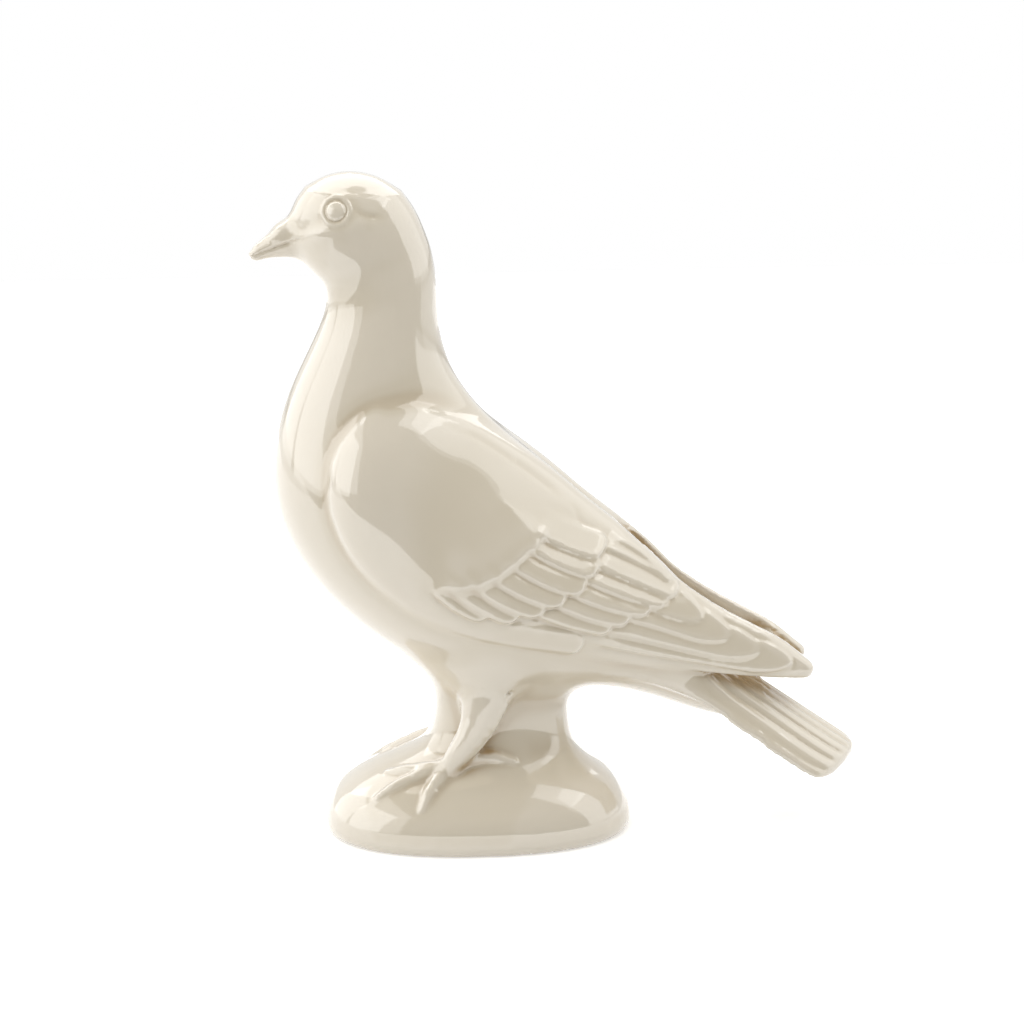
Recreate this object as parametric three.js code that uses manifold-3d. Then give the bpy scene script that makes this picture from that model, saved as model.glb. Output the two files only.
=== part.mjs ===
// A glazed ceramic dove standing on an oval mound, moulded in one with it.
// The bird faces -X and +Z is up. The origin is the middle of the flat underside.
// It is symmetric about the plane y = 0, and its left side, modelled first, is at -Y.
// Lengths are in millimetres and angles in degrees.

import * as THREE from "three";
import { LoftGeometry } from "three/addons/geometries/LoftGeometry.js";
import { mergeVertices } from "three/addons/utils/BufferGeometryUtils.js";
import Module from "manifold-3d";

const wasm = await Module();
wasm.setup();

// Driving dimensions

// Mound and stem: squarish ovals, each with its height, its reach ahead of the origin and
// behind it, and its half-width
const BASE_SECTIONS = [
  [0, 47.8, 47.4, 33.2],
  [1.2, 49.0, 48.8, 34.8],
  [4, 49.5, 49.5, 35.4],
  [8, 48.8, 48.9, 35.0],
  [12, 46.8, 47.2, 33.6],
  [15.5, 43.8, 45.0, 31.0],
  [18.5, 39.4, 42.0, 28.2],
  [21.5, 33.4, 37.8, 24.8],
  [24.5, 26.4, 34.4, 21.4],
  [27.5, 20.2, 31.8, 18.6],
  [31, 16.4, 30.2, 16.8],
  [35, 14.8, 29.5, 16.0],
  [40, 14.0, 29.0, 15.6],
  [46, 14.2, 29.4, 16.0],
  [52, 16.0, 31.6, 18.0],
  [60, 20.0, 36.0, 20.0],
];
const BASE_POINTS = 28;
const BASE_SQUARENESS = 2.3;

// Neck and body are one loft whose section planes fan out from a line behind the nape
const FAN_LINE = { x: 90, z: 203 };
// Each section: angle below -X, distance from the line to the back and to the breast, half-width
const BODY_SECTIONS = [
  [-3, 114.6, 143.4, 11.6],
  [0, 110.0, 146.6, 14.6],
  [3, 106.8, 146.0, 15.6],
  [6, 105.2, 144.4, 15.6],
  [9, 104.8, 140.2, 15.5],
  [12, 105.2, 140.6, 15.7],
  [15, 106.2, 145.4, 16.8],
  [18, 107.6, 152.4, 18.8],
  [21, 108.8, 160.4, 21.4],
  [24, 109.6, 167.6, 24.2],
  [27, 109.8, 174.0, 27.0],
  [31, 109.4, 180.4, 29.8],
  [36, 108.4, 184.4, 32.0],
  [42, 107.0, 185.6, 33.0],
  [48, 106.6, 184.4, 33.0],
  [54, 107.4, 181.8, 31.6],
  [60, 109.4, 176.6, 29.0],
  [66, 111.8, 170.2, 25.4],
  [72, 119.4, 164.2, 21.4],
  [78, 131.6, 163.4, 17.6],
  [84, 146.0, 166.6, 13.6],
  [90, 158.0, 169.6, 7.0],
];
const BODY_POINTS = 22;
// Below the neck the sections are this much narrower at the back than at the breast. The lean
// grows from the first angle to the second and fades from the third to the fourth.
const BODY_LEAN = { share: 0.22, from: 18, full: 34, fading: 58, gone: 76 };

// Skull, an egg tilted nose up, and the two eyes on it
const SKULL = { x: -38.7, z: 197.9, length: 41, height: 36, width: 32, tilt: 16 };
const EYE = { x: -45.1, z: 206.8, y: 13.4, ball: 3.1, ballRise: 0.9 };
// The eye's rim in section: distance from the eye's axis and height over the skull
const EYE_RIM = [[0, -3], [4.9, -3], [4.9, 0], [4.6, 0.6], [4.1, 0.8], [3.6, 0.5], [3.2, -0.4], [0, -0.4]];

// Beak sections: x, top, gape and bottom in z, half-width
const BEAK_SECTIONS = [
  [-53.6, 204.2, 197.6, 188.4, 6.6],
  [-58.2, 202.4, 195.6, 189.0, 5.4],
  [-61.7, 199.8, 194.0, 189.2, 4.3],
  [-65.2, 197.2, 192.6, 189.1, 3.2],
  [-68.3, 194.4, 191.2, 188.9, 2.2],
  [-70.5, 192.1, 190.1, 188.8, 1.3],
  [-71.4, 190.5, 189.6, 189.0, 0.6],
];
const BEAK_POINTS = 9;
// The lower mandible is this much narrower, and each reaches this far past the gape
const LOWER_BEAK_SHARE = 0.86;
const GAPE_OVERLAP = 0.12;
const CERE = { x: -61.1, z: 198.1, y: 2.3, length: 8.4, height: 4.4, width: 4.6, tilt: -36 };

// Wing frame in the side view: u runs back along the wing from the shoulder, v runs up
const WING_ORIGIN = { x: -48.5, z: 123.4 };
const WING_TILT = -25;
// Each station: u, lower and upper edge in v, the skin's distance from the plane of symmetry
// at the lower edge and at the upper, the bulge between them, and thickness
const WING_STATIONS = [
  [-1.6, 4.5, 13.0, 27.4, 26.8, 0.4, 5],
  [1, -3, 20.2, 29.2, 27.0, 2.4, 6.5],
  [6, -10.8, 25.6, 31.6, 26.0, 6.0, 8.4],
  [14, -18, 29.6, 33.2, 23.6, 8.9, 10],
  [24, -23.4, 32.2, 34.2, 20.4, 9.2, 11.6],
  [36, -27, 32.8, 34.8, 17.2, 8.6, 12],
  [50, -28.8, 30.8, 34.2, 15.2, 9.2, 11.4],
  [66, -27.8, 27.4, 32.0, 13.0, 9.0, 10.5],
  [84, -24, 22.2, 28.4, 12.0, 7.8, 9.6],
  [102, -20.2, 17.6, 24.6, 12.0, 5.6, 8.0],
  [118, -16.8, 12.0, 21.2, 12.6, 3.2, 6.8],
  [132, -13.4, 9.2, 18.4, 13.0, 1.8, 6.4],
  [148, -9.2, 7.8, 16.0, 13.0, 0.9, 6.2],
  [160, -5.2, 7.5, 14.6, 12.8, 0.6, 6.6],
  [167, -2.8, 7.0, 13.8, 12.6, 0.4, 6.8],
  [171, -1.0, 6.2, 13.2, 12.2, 0.3, 6.0],
  [173, 0.6, 4.8, 12.2, 11.6, 0.1, 4.0],
];
const WING_POINTS = 16;
const WING_ROUNDNESS = 3;
// The clay left between the wing tips: a bar across the bird
const WEB = { u: 163.5, v: 2.0, length: 16, thickness: 6.4, halfWidth: 10.5 };

// Rows of carved feathers. A row's roots and tips run from its first feather, nearest the upper
// edge, through its middle one to its last, in u and v. The sag bends each shaft down between
// its ends, and the free edge is the one that stands proud: +1 the upper, -1 the lower.
const FEATHER_ROWS = [
  {
    count: 2,
    roots: [[30, 30], [29, 27.5], [28, 25]],
    tips: [[91, 17.4], [87, 18.2], [80, 19.6]],
    width: 6.4,
    lift: 1.1,
    sag: -3,
    freeEdge: -1,
  },
  {
    count: 7,
    roots: [[68.6, 14], [61, -2], [46, -12]],
    tips: [[90.4, 13.6], [84.6, -4.4], [62.6, -20.2]],
    width: 7.6,
    lift: 1.3,
    sag: 1.6,
    freeEdge: -1,
  },
  {
    count: 7,
    roots: [[90, 12], [84, -3], [66, -19]],
    tips: [[116, 11.4], [113, 1.6], [96.4, -16.6]],
    width: 7.4,
    lift: 1.2,
    sag: 1.0,
    freeEdge: -1,
  },
  {
    count: 4,
    roots: [[104, 3], [103, -3], [99, -11]],
    tips: [[130.4, 3.6], [147.6, 1.4], [164.6, 0.8]],
    width: 9.4,
    lift: 1.0,
    sag: -1.6,
    freeEdge: 1,
  },
];
const FEATHER_STATIONS = [0, 0.35, 0.7, 0.91, 1];
// A feather's wedge: depth under the skin, width left at the tip, bluntness of the tip's curve
const FEATHER_WEDGE = { depth: 1.6, tipShare: 0.22, bluntness: 6, edgeDepth: 0.4 };

// Tail: a fluted, arched fan whose crown line slopes down behind the bird. Its corners retreat
// from the tip, where it is thinner than its blade it thins from both sides, and its heart makes
// it thicker along the middle.
const TAIL = { x: 62, z: 67.6, slope: 35, length: 75, retreat: 6, blade: 4.4, underShare: 0.97, heart: 1 };
const FLUTES = { count: 12, depth: 0.8 };
const TAIL_UNDER_POINTS = 9;
// Each section: distance along the crown, half-width, fall of the edges below it, thickness
const TAIL_SECTIONS = [
  [0, 15.6, 13.2, 5.0],
  [16, 16.0, 11.8, 4.6],
  [32, 17.0, 11.6, 4.6],
  [48, 18.8, 12.0, 4.4],
  [62, 20.6, 12.0, 4.2],
  [70, 21.0, 11.6, 3.8],
  [73.4, 20.4, 11.0, 3.2],
  [75, 18.8, 10.2, 2.0],
];

// Leg, from the thigh down to the foot: middle and radius
const LEG_SECTIONS = [
  [1.5, -12.0, 62.0, 11.0],
  [-0.4, -15.6, 53.0, 8.8],
  [-1.2, -18.4, 45.0, 6.8],
  [-3.2, -20.0, 38.4, 5.2],
  [-6.2, -20.4, 33.0, 4.3],
  [-9.0, -19.8, 28.6, 3.8],
  [-10.8, -18.8, 25.4, 3.2],
];
// Toes: where each tip lies on the mound, and how far the toe bows sideways on its way there
const FOOT = { x: -10.0, y: -19.0, rootRadius: 2.7, tipRadius: 1.3, rise: 0.7 };
const TOE_TIPS = [
  { x: -20.0, y: -29.0, bow: -1.0 },
  { x: -34.4, y: -20.4, bow: -1.0 },
  { x: -30.0, y: -10.6, bow: 1.0 },
  { x: 9.8, y: -18.6, bow: 0.8 },
];
const TOE_STATIONS = 6;

const GLAZE_COLOUR = 0xe9e0d0;

// Helpers

const { degToRad, lerp, clamp, smoothstep } = THREE.MathUtils;

// Smooth curves through the columns of a table, as one function of its first column
function smoothTable(rows) {
  const last = rows.length - 1;
  const rate = (i, k) => (rows[i + 1][k] - rows[i][k]) / (rows[i + 1][0] - rows[i][0]);
  const slope = (i, k) => {
    if (i === 0) return rate(0, k);
    if (i === last) return rate(last - 1, k);
    const before = rows[i][0] - rows[i - 1][0];
    const after = rows[i + 1][0] - rows[i][0];
    return (rate(i - 1, k) * after + rate(i, k) * before) / (before + after);
  };
  return (t) => {
    let i = 0;
    while (i < last - 1 && t > rows[i + 1][0]) i += 1;
    const span = rows[i + 1][0] - rows[i][0];
    const s = clamp((t - rows[i][0]) / span, 0, 1);
    return rows[i].slice(1).map((value, j) => {
      const k = j + 1;
      const rise = rows[i + 1][k] - value;
      const bendIn = slope(i, k) * span - rise;
      const bendOut = rise - slope(i + 1, k) * span;
      return value + rise * s + s * (1 - s) * (bendIn * (1 - s) + bendOut * s);
    });
  };
}

// The curve through the first, middle and last of three points
function throughThree([first, middle, last], t) {
  const a = 2 * (t - 0.5) * (t - 1);
  const b = -4 * t * (t - 1);
  const c = 2 * t * (t - 0.5);
  return first.map((value, i) => a * value + b * middle[i] + c * last[i]);
}

const evenly = (count, make) => Array.from({ length: count }, (_, i) => make(i / (count - 1)));
const around = (count, make) =>
  Array.from({ length: count }, (_, i) => make((2 * Math.PI * i) / count));
const rounded = (value, power) => Math.sign(value) * Math.abs(value) ** (2 / power);

// A closed solid from a geometry, without the flat triangles at its poles
function solidOf(geometry) {
  const bare = new THREE.BufferGeometry();
  const flat = geometry.index ? geometry.toNonIndexed() : geometry;
  bare.setAttribute("position", flat.getAttribute("position"));
  const merged = mergeVertices(bare, 1e-4);
  const triVerts = [];
  for (let i = 0; i < merged.index.count; i += 3) {
    const [a, b, c] = merged.index.array.slice(i, i + 3);
    if (a !== b && b !== c && c !== a) triVerts.push(a, b, c);
  }
  return new wasm.Manifold(
    new wasm.Mesh({
      numProp: 3,
      vertProperties: merged.attributes.position.array,
      triVerts: Uint32Array.from(triVerts),
    }),
  );
}

// The direction a closed outline faces, by the right-hand rule, as long as twice its area
function facing(outline) {
  return outline.reduce(
    (sum, point, i) => sum.add(point.clone().cross(outline[(i + 1) % outline.length])),
    new THREE.Vector3(),
  );
}

const centreOf = (outline) =>
  outline
    .reduce((sum, point) => sum.add(point), new THREE.Vector3())
    .divideScalar(outline.length);

// A solid skin over a run of outlines, closed by a cap at each end
function loft(sections) {
  const ahead = centreOf(sections[1]).sub(centreOf(sections[0]));
  const ordered =
    facing(sections[0]).dot(ahead) > 0
      ? sections
      : sections.map((section) => [...section].reverse());
  return solidOf(new LoftGeometry(ordered, { capStart: true, capEnd: true }));
}

const joined = (solids) => solids.reduce((whole, next) => whole.add(next));

// A round bar along a path of points, each with its own radius
function tube(points, radii, sides) {
  const up = new THREE.Vector3(0, 0, 1);
  return loft(
    points.map((point, i) => {
      const ahead = points[Math.min(i + 1, points.length - 1)];
      const behind = points[Math.max(i - 1, 0)];
      const along = ahead.clone().sub(behind).normalize();
      const side = along.clone().cross(up).normalize();
      const top = side.clone().cross(along);
      return around(sides, (angle) =>
        point
          .clone()
          .addScaledVector(side, radii[i] * Math.cos(angle))
          .addScaledVector(top, radii[i] * Math.sin(angle)),
      );
    }),
  );
}

// Mound and stem

const baseSection = smoothTable(BASE_SECTIONS);

function makeBase() {
  return loft(
    BASE_SECTIONS.map(([z, front, rear, halfWidth]) =>
      around(BASE_POINTS, (angle) => {
        const along = rounded(Math.cos(angle), BASE_SQUARENESS);
        const aside = rounded(Math.sin(angle), BASE_SQUARENESS);
        return new THREE.Vector3(along * (along < 0 ? front : rear), aside * halfWidth, z);
      }),
    ),
  );
}

// Height of the mound's surface over a point
function moundHeight(x, y) {
  let low = 4;
  let high = 40;
  for (let step = 0; step < 24; step += 1) {
    const z = (low + high) / 2;
    const [front, rear, halfWidth] = baseSection(z);
    const along = Math.abs(x) / (x < 0 ? front : rear);
    const aside = Math.abs(y) / halfWidth;
    if (along ** BASE_SQUARENESS + aside ** BASE_SQUARENESS < 1) low = z;
    else high = z;
  }
  return low;
}

// Neck, breast and body

function leanAt(degrees) {
  const grown = smoothstep(degrees, BODY_LEAN.from, BODY_LEAN.full);
  const left = 1 - smoothstep(degrees, BODY_LEAN.fading, BODY_LEAN.gone);
  return BODY_LEAN.share * grown * left;
}

function makeBody() {
  const section = smoothTable(BODY_SECTIONS);
  return loft(
    BODY_SECTIONS.map(([degrees]) => {
      const [back, breast, halfWidth] = section(degrees);
      const angle = degToRad(degrees);
      const middle = (back + breast) / 2;
      const half = (breast - back) / 2;
      return around(BODY_POINTS, (turn) => {
        const reach = middle + half * Math.cos(turn);
        const aside = halfWidth * Math.sin(turn) * (1 + leanAt(degrees) * Math.cos(turn));
        return new THREE.Vector3(
          FAN_LINE.x - reach * Math.cos(angle),
          aside,
          FAN_LINE.z - reach * Math.sin(angle),
        );
      });
    }),
  );
}

// Head

function ellipsoid({ x, y = 0, z, length, width, height, tilt = 0 }, sides, rings) {
  const ball = new THREE.SphereGeometry(0.5, sides, rings);
  ball.scale(length, width, height);
  ball.rotateY(degToRad(tilt));
  ball.translate(x, y, z);
  return solidOf(ball);
}

// One mandible: a half-oval section between the gape and the beak's top or bottom
function mandible(isUpper) {
  return loft(
    BEAK_SECTIONS.map(([x, top, gape, bottom, halfWidth]) => {
      const reach = isUpper ? top - gape : gape - bottom;
      const upward = isUpper ? 1 : -1;
      const share = isUpper ? 1 : LOWER_BEAK_SHARE;
      return evenly(BEAK_POINTS, (t) => {
        const angle = Math.PI * t;
        return new THREE.Vector3(
          x,
          halfWidth * share * Math.cos(angle),
          gape + upward * (reach * Math.sin(angle) - GAPE_OVERLAP),
        );
      });
    }),
  );
}

function makeHead() {
  return joined([ellipsoid(SKULL, 20, 14), mandible(true), mandible(false)]);
}

// Eye with its raised rim, and the swelling beside the nostril
function makeFaceSide() {
  const outward = new THREE.Vector3(
    (EYE.x - SKULL.x) / SKULL.length ** 2,
    -EYE.y / SKULL.width ** 2,
    (EYE.z - SKULL.z) / SKULL.height ** 2,
  ).normalize();
  const rim = new THREE.LatheGeometry(
    EYE_RIM.map(([radius, height]) => new THREE.Vector2(radius, height)),
    16,
  );
  rim.applyQuaternion(
    new THREE.Quaternion().setFromUnitVectors(new THREE.Vector3(0, 1, 0), outward),
  );
  rim.translate(EYE.x, -EYE.y, EYE.z);
  const ball = {
    x: EYE.x - EYE.ballRise * outward.x,
    y: -EYE.y - EYE.ballRise * outward.y,
    z: EYE.z - EYE.ballRise * outward.z,
    length: 2 * EYE.ball,
    width: 2 * EYE.ball,
    height: 2 * EYE.ball,
  };
  return [solidOf(rim), ellipsoid(ball, 12, 8), ellipsoid({ ...CERE, y: -CERE.y }, 10, 6)];
}

// Left wing

const wingStation = smoothTable(WING_STATIONS);

function wingPoint(u, v, y) {
  const tilt = degToRad(-WING_TILT);
  return new THREE.Vector3(
    WING_ORIGIN.x + u * Math.cos(tilt) + v * Math.sin(tilt),
    -y,
    WING_ORIGIN.z - u * Math.sin(tilt) + v * Math.cos(tilt),
  );
}

// Distance of the wing's skin from the plane of symmetry. Share runs from -1 at the lower edge
// to 1 at the upper one, side from 1 on the outer skin to -1 on the inner.
function wingReach(u, share, side) {
  const [, , yLow, yHigh, bulge, thickness] = wingStation(u);
  const skin = lerp(yLow, yHigh, (share + 1) / 2) + bulge * (1 - share * share);
  return skin - (thickness / 2) * (1 - side);
}

function outerSkin(u, v) {
  const [vLow, vHigh] = wingStation(u);
  const share = clamp((2 * v - vLow - vHigh) / (vHigh - vLow), -0.999, 0.999);
  const side = (1 - Math.abs(share) ** WING_ROUNDNESS) ** (1 / WING_ROUNDNESS);
  return wingReach(u, share, side);
}

function makeWing() {
  return loft(
    WING_STATIONS.map(([u]) => {
      const [vLow, vHigh] = wingStation(u);
      return around(WING_POINTS, (angle) => {
        const share = rounded(Math.cos(angle), WING_ROUNDNESS);
        const side = rounded(Math.sin(angle), WING_ROUNDNESS);
        const v = lerp(vLow, vHigh, (share + 1) / 2);
        return wingPoint(u, v, wingReach(u, share, side));
      });
    }),
  );
}

// A feather: a thin wedge on the wing's skin, sunk at its root and proud along its free edge
function makeFeather(row, place) {
  const root = throughThree(row.roots, place);
  const tip = throughThree(row.tips, place);
  const length = Math.hypot(tip[0] - root[0], tip[1] - root[1]);
  const across = [-(tip[1] - root[1]) / length, (tip[0] - root[0]) / length];
  return loft(
    FEATHER_STATIONS.map((t) => {
      const bend = -row.sag * 4 * t * (1 - t);
      const u = lerp(root[0], tip[0], t) + across[0] * bend;
      const v = lerp(root[1], tip[1], t) + across[1] * bend;
      const taper = Math.sqrt(1 - t ** FEATHER_WEDGE.bluntness);
      const half = (row.width / 2) * Math.max(FEATHER_WEDGE.tipShare, taper);
      const lift = row.lift * lerp(-0.5, 1, Math.min(1, 1.6 * t));
      const point = (offset, height) => {
        const pu = u + across[0] * offset * half;
        const pv = v + across[1] * offset * half;
        return wingPoint(pu, pv, outerSkin(pu, pv) + height);
      };
      const free = row.freeEdge;
      return [
        point(-free, -FEATHER_WEDGE.depth),
        point(free, -FEATHER_WEDGE.depth),
        point(free, lift * 0.75),
        point(free * 0.6, lift),
        point(-free, -FEATHER_WEDGE.edgeDepth),
      ];
    }),
  );
}

function makeWingSide() {
  const feathers = FEATHER_ROWS.flatMap((row) =>
    evenly(row.count, (place) => makeFeather(row, place)),
  );
  return [makeWing(), ...feathers];
}

// The web between the wing tips, an egg that reaches into both
function makeWeb() {
  const middle = wingPoint(WEB.u, WEB.v, 0);
  return ellipsoid(
    {
      x: middle.x,
      z: middle.z,
      length: WEB.length,
      width: 2 * WEB.halfWidth,
      height: WEB.thickness,
      tilt: -WING_TILT,
    },
    10,
    6,
  );
}

// Tail

const heartAt = (share) => 1 + TAIL.heart * (1 - share * share);

function makeTail() {
  const section = smoothTable(TAIL_SECTIONS);
  const slope = degToRad(TAIL.slope);
  const topPoints = 2 * FLUTES.count + 1;
  return loft(
    TAIL_SECTIONS.map(([distance]) => {
      const [halfWidth, fall, thickness] = section(distance);
      const point = (share, depth) => {
        const along = distance - TAIL.retreat * share * share * (distance / TAIL.length);
        const below = fall * share * share + depth;
        return new THREE.Vector3(
          TAIL.x + along * Math.cos(slope) - below * Math.sin(slope),
          halfWidth * share,
          TAIL.z - along * Math.sin(slope) - below * Math.cos(slope),
        );
      };
      const thinning = Math.max(TAIL.blade - thickness, 0) / 2;
      const top = evenly(topPoints, (t) => {
        const inGroove = Math.round(t * (topPoints - 1)) % 2 === 0;
        return point(lerp(-1, 1, t), thinning + (inGroove ? FLUTES.depth : 0));
      });
      const under = evenly(TAIL_UNDER_POINTS, (t) =>
        point(TAIL.underShare * lerp(1, -1, t), thinning + thickness * heartAt(lerp(1, -1, t))),
      );
      return [...top, ...under];
    }),
  );
}

// Left leg and foot

function makeLeg() {
  const points = LEG_SECTIONS.map(([x, y, z]) => new THREE.Vector3(x, y, z));
  const radii = LEG_SECTIONS.map((row) => row[3]);
  return tube(points, radii, 10);
}

function makeToe(tip) {
  const span = Math.hypot(tip.x - FOOT.x, tip.y - FOOT.y);
  const sideways = [-(tip.y - FOOT.y) / span, (tip.x - FOOT.x) / span];
  const points = evenly(TOE_STATIONS, (t) => {
    const bow = tip.bow * Math.sin(Math.PI * t);
    const x = lerp(FOOT.x, tip.x, t) + sideways[0] * bow;
    const y = lerp(FOOT.y, tip.y, t) + sideways[1] * bow;
    return new THREE.Vector3(x, y, moundHeight(x, y) + FOOT.rise * (1 - t));
  });
  const radii = evenly(TOE_STATIONS, (t) => lerp(FOOT.rootRadius, FOOT.tipRadius, t));
  return tube(points, radii, 6);
}

// The whole figurine, in one piece

const leftSide = joined([
  ...makeFaceSide(),
  ...makeWingSide(),
  makeLeg(),
  ...TOE_TIPS.map(makeToe),
]);
const whole = joined([
  makeBase(),
  makeBody(),
  makeHead(),
  makeTail(),
  makeWeb(),
  leftSide,
  leftSide.mirror([0, 1, 0]),
]);

function geometryOf(solid) {
  const mesh = solid.getMesh();
  const geometry = new THREE.BufferGeometry();
  geometry.setAttribute("position", new THREE.BufferAttribute(mesh.vertProperties, 3));
  geometry.setIndex(new THREE.BufferAttribute(mesh.triVerts, 1));
  geometry.computeVertexNormals();
  return geometry;
}

const glaze = new THREE.MeshStandardMaterial({
  color: GLAZE_COLOUR,
  roughness: 0.15,
  metalness: 0,
});
const dove = new THREE.Mesh(geometryOf(whole), glaze);
dove.name = "dove";

const figurine = new THREE.Group();
figurine.add(dove);

export default figurine;
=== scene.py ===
import logging
import math
from collections.abc import Iterator
from dataclasses import dataclass, field
from enum import Enum

import bmesh
import bpy
import numpy as np
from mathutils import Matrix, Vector


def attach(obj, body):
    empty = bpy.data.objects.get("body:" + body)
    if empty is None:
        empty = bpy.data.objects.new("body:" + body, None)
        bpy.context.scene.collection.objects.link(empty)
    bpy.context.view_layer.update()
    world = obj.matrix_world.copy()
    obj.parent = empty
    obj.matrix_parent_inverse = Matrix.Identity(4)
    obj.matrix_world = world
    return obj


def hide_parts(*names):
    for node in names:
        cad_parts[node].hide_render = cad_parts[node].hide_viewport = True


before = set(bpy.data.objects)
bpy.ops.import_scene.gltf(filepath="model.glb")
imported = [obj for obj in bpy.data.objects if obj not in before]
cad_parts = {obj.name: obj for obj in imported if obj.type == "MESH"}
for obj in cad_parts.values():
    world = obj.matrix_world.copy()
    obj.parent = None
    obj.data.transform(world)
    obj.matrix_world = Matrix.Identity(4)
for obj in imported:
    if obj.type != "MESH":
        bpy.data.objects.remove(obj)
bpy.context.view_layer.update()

# A glazed ceramic dove on its mound. Forms are measured in millimetres in the part's own frame:
# the bird faces -X, +Z is up and the left side, at -Y, is mirrored on the right.

MM = 0.001
# A distance past every form, and the least slope that a distance is divided by
FAR = 1e3
LEAST_SLOPE = 1e-6
Values = np.ndarray
log = logging.getLogger("dove")


# Numbers and curves


def smoothstep(low: float, high: float, value: Values) -> Values:
    """Ease from 0 at low to 1 at high."""
    share = np.clip((value - low) / (high - low), 0.0, 1.0)
    return share * share * (3.0 - 2.0 * share)


def bump(distance: Values, width: float) -> Values:
    """Bell curve of a distance, 1 in the middle and near 0 past twice the width."""
    return np.exp(-((distance / width) ** 2))


def lerp(start: Values, end: Values, share: Values) -> Values:
    """Straight mix of two values."""
    return start + (end - start) * share


def blend(first: Values, second: Values, radius: Values) -> Values:
    """Union of two distances with a fillet.

    Args:
        first: Signed distances to the first form.
        second: Signed distances to the second form.
        radius: Reach of the fillet, in millimetres.

    Returns:
        Signed distances to the two forms joined.
    """
    overlap = np.maximum(radius - np.abs(first - second), 0.0) / radius
    return np.minimum(first, second) - overlap * overlap * radius * 0.25


def meet(first: Values, second: Values, radius: float) -> Values:
    """What two signed distances have in common, with the edge between them rounded."""
    return -blend(-first, -second, radius)


def oval(across: Values, along: Values, width: Values, length: Values) -> Values:
    """Signed distance, close to true near the edge, to an ellipse.

    Args:
        across: First coordinate from the centre.
        along: Second coordinate from the centre.
        width: Half-axis of the first coordinate.
        length: Half-axis of the second.

    Returns:
        Distances, negative inside.
    """
    reach = np.hypot(across / width, along / length)
    slope = np.hypot(across / width**2, along / length**2)
    return reach * (reach - 1.0) / np.maximum(slope, LEAST_SLOPE)


def squarish(across: Values, along: Values, width: Values, length: Values, power: float) -> Values:
    """Signed distance to a super-ellipse: power 2 is an ellipse, higher is squarer.

    Args:
        across: First coordinate from the centre.
        along: Second coordinate from the centre.
        width: Half-axis of the first coordinate.
        length: Half-axis of the second.
        power: Squareness.

    Returns:
        Signed distances, negative inside.
    """
    first, second = np.abs(across / width), np.abs(along / length)
    reach = np.maximum((first**power + second**power) ** (1.0 / power), LEAST_SLOPE)
    slope = np.hypot((first / reach) ** (power - 1) / width, (second / reach) ** (power - 1) / length)
    return (reach - 1.0) / np.maximum(slope, LEAST_SLOPE)


def turned(ahead: Values, up: Values, slope: float) -> tuple[Values, Values]:
    """Turn a side view to a line that slopes down behind.

    Args:
        ahead: Distances along X.
        up: Distances along Z.
        slope: Slope of the line, in degrees.

    Returns:
        Distances along the line and above it.
    """
    turn = math.radians(slope)
    return ahead * math.cos(turn) - up * math.sin(turn), ahead * math.sin(turn) + up * math.cos(turn)


def stretches(places: Values, path: Values, marks: Values) -> Iterator[tuple[Values, Values, Values, Values]]:
    """Go along a path of straight stretches.

    Args:
        places: Rows of coordinates.
        path: The path's corners.
        marks: A value at each corner.

    Yields:
        The stretch, and for each place its offset and distance from it and the value nearest to it.
    """
    for start, end, first, last in zip(path, path[1:], marks, marks[1:]):
        span = end - start
        share = np.clip((places - start) @ span / (span @ span), 0.0, 1.0)
        away = places - start - share[:, None] * span
        yield span, away, np.linalg.norm(away, axis=1), lerp(first, last, share)


class Profile:
    """Fair curves through the columns of a table, read at any place along its first column."""

    STEPS = 800

    def __init__(self, rows: tuple, fairing: float = 0.0) -> None:
        """Fit the curves.

        Args:
            rows: Table rows, each a place followed by its values.
            fairing: Width of the smoothing along the first column, in its units.
        """
        table = np.array(rows, float)
        self.start, self.end = table[0, 0], table[-1, 0]
        self.places = np.linspace(self.start, self.end, self.STEPS)
        self.curves = [self._faired(self._spline(table[:, 0], column), fairing) for column in table[:, 1:].T]

    def _spline(self, knots: Values, values: Values) -> Values:
        """Natural cubic spline through one column, sampled at the places.

        Args:
            knots: Places of the rows.
            values: The column's values there.

        Returns:
            The curve's values at the places.
        """
        gaps = np.diff(knots)
        rates = np.diff(values) / gaps
        count = len(knots)
        system = np.eye(count)
        right = np.zeros(count)
        for i in range(1, count - 1):
            system[i, i - 1 : i + 2] = gaps[i - 1], 2 * (gaps[i - 1] + gaps[i]), gaps[i]
            right[i] = 6 * (rates[i] - rates[i - 1])
        bends = np.linalg.solve(system, right)
        i = np.clip(np.searchsorted(knots, self.places) - 1, 0, count - 2)
        after, before, gap = self.places - knots[i], knots[i + 1] - self.places, gaps[i]
        return (
            (bends[i] * before**3 + bends[i + 1] * after**3) / (6 * gap)
            + (values[i] / gap - bends[i] * gap / 6) * before
            + (values[i + 1] / gap - bends[i + 1] * gap / 6) * after
        )

    def _faired(self, curve: Values, fairing: float) -> Values:
        """The curve smoothed by a bell of that width, with its ends kept.

        Args:
            curve: The curve's values at the places.
            fairing: Width of the bell.

        Returns:
            The smoothed values.
        """
        step = self.places[1] - self.places[0]
        reach = int(3 * fairing / step)
        if reach < 1:
            return curve
        weights = bump(np.arange(-reach, reach + 1) * step, fairing)
        before = 2 * curve[0] - curve[reach:0:-1]
        after = 2 * curve[-1] - curve[-2 : -reach - 2 : -1]
        return np.convolve(np.concatenate([before, curve, after]), weights / weights.sum(), "valid")

    def __call__(self, place: Values) -> list[Values]:
        """Values of every column at the places asked for."""
        return [np.interp(place, self.places, curve) for curve in self.curves]


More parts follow.
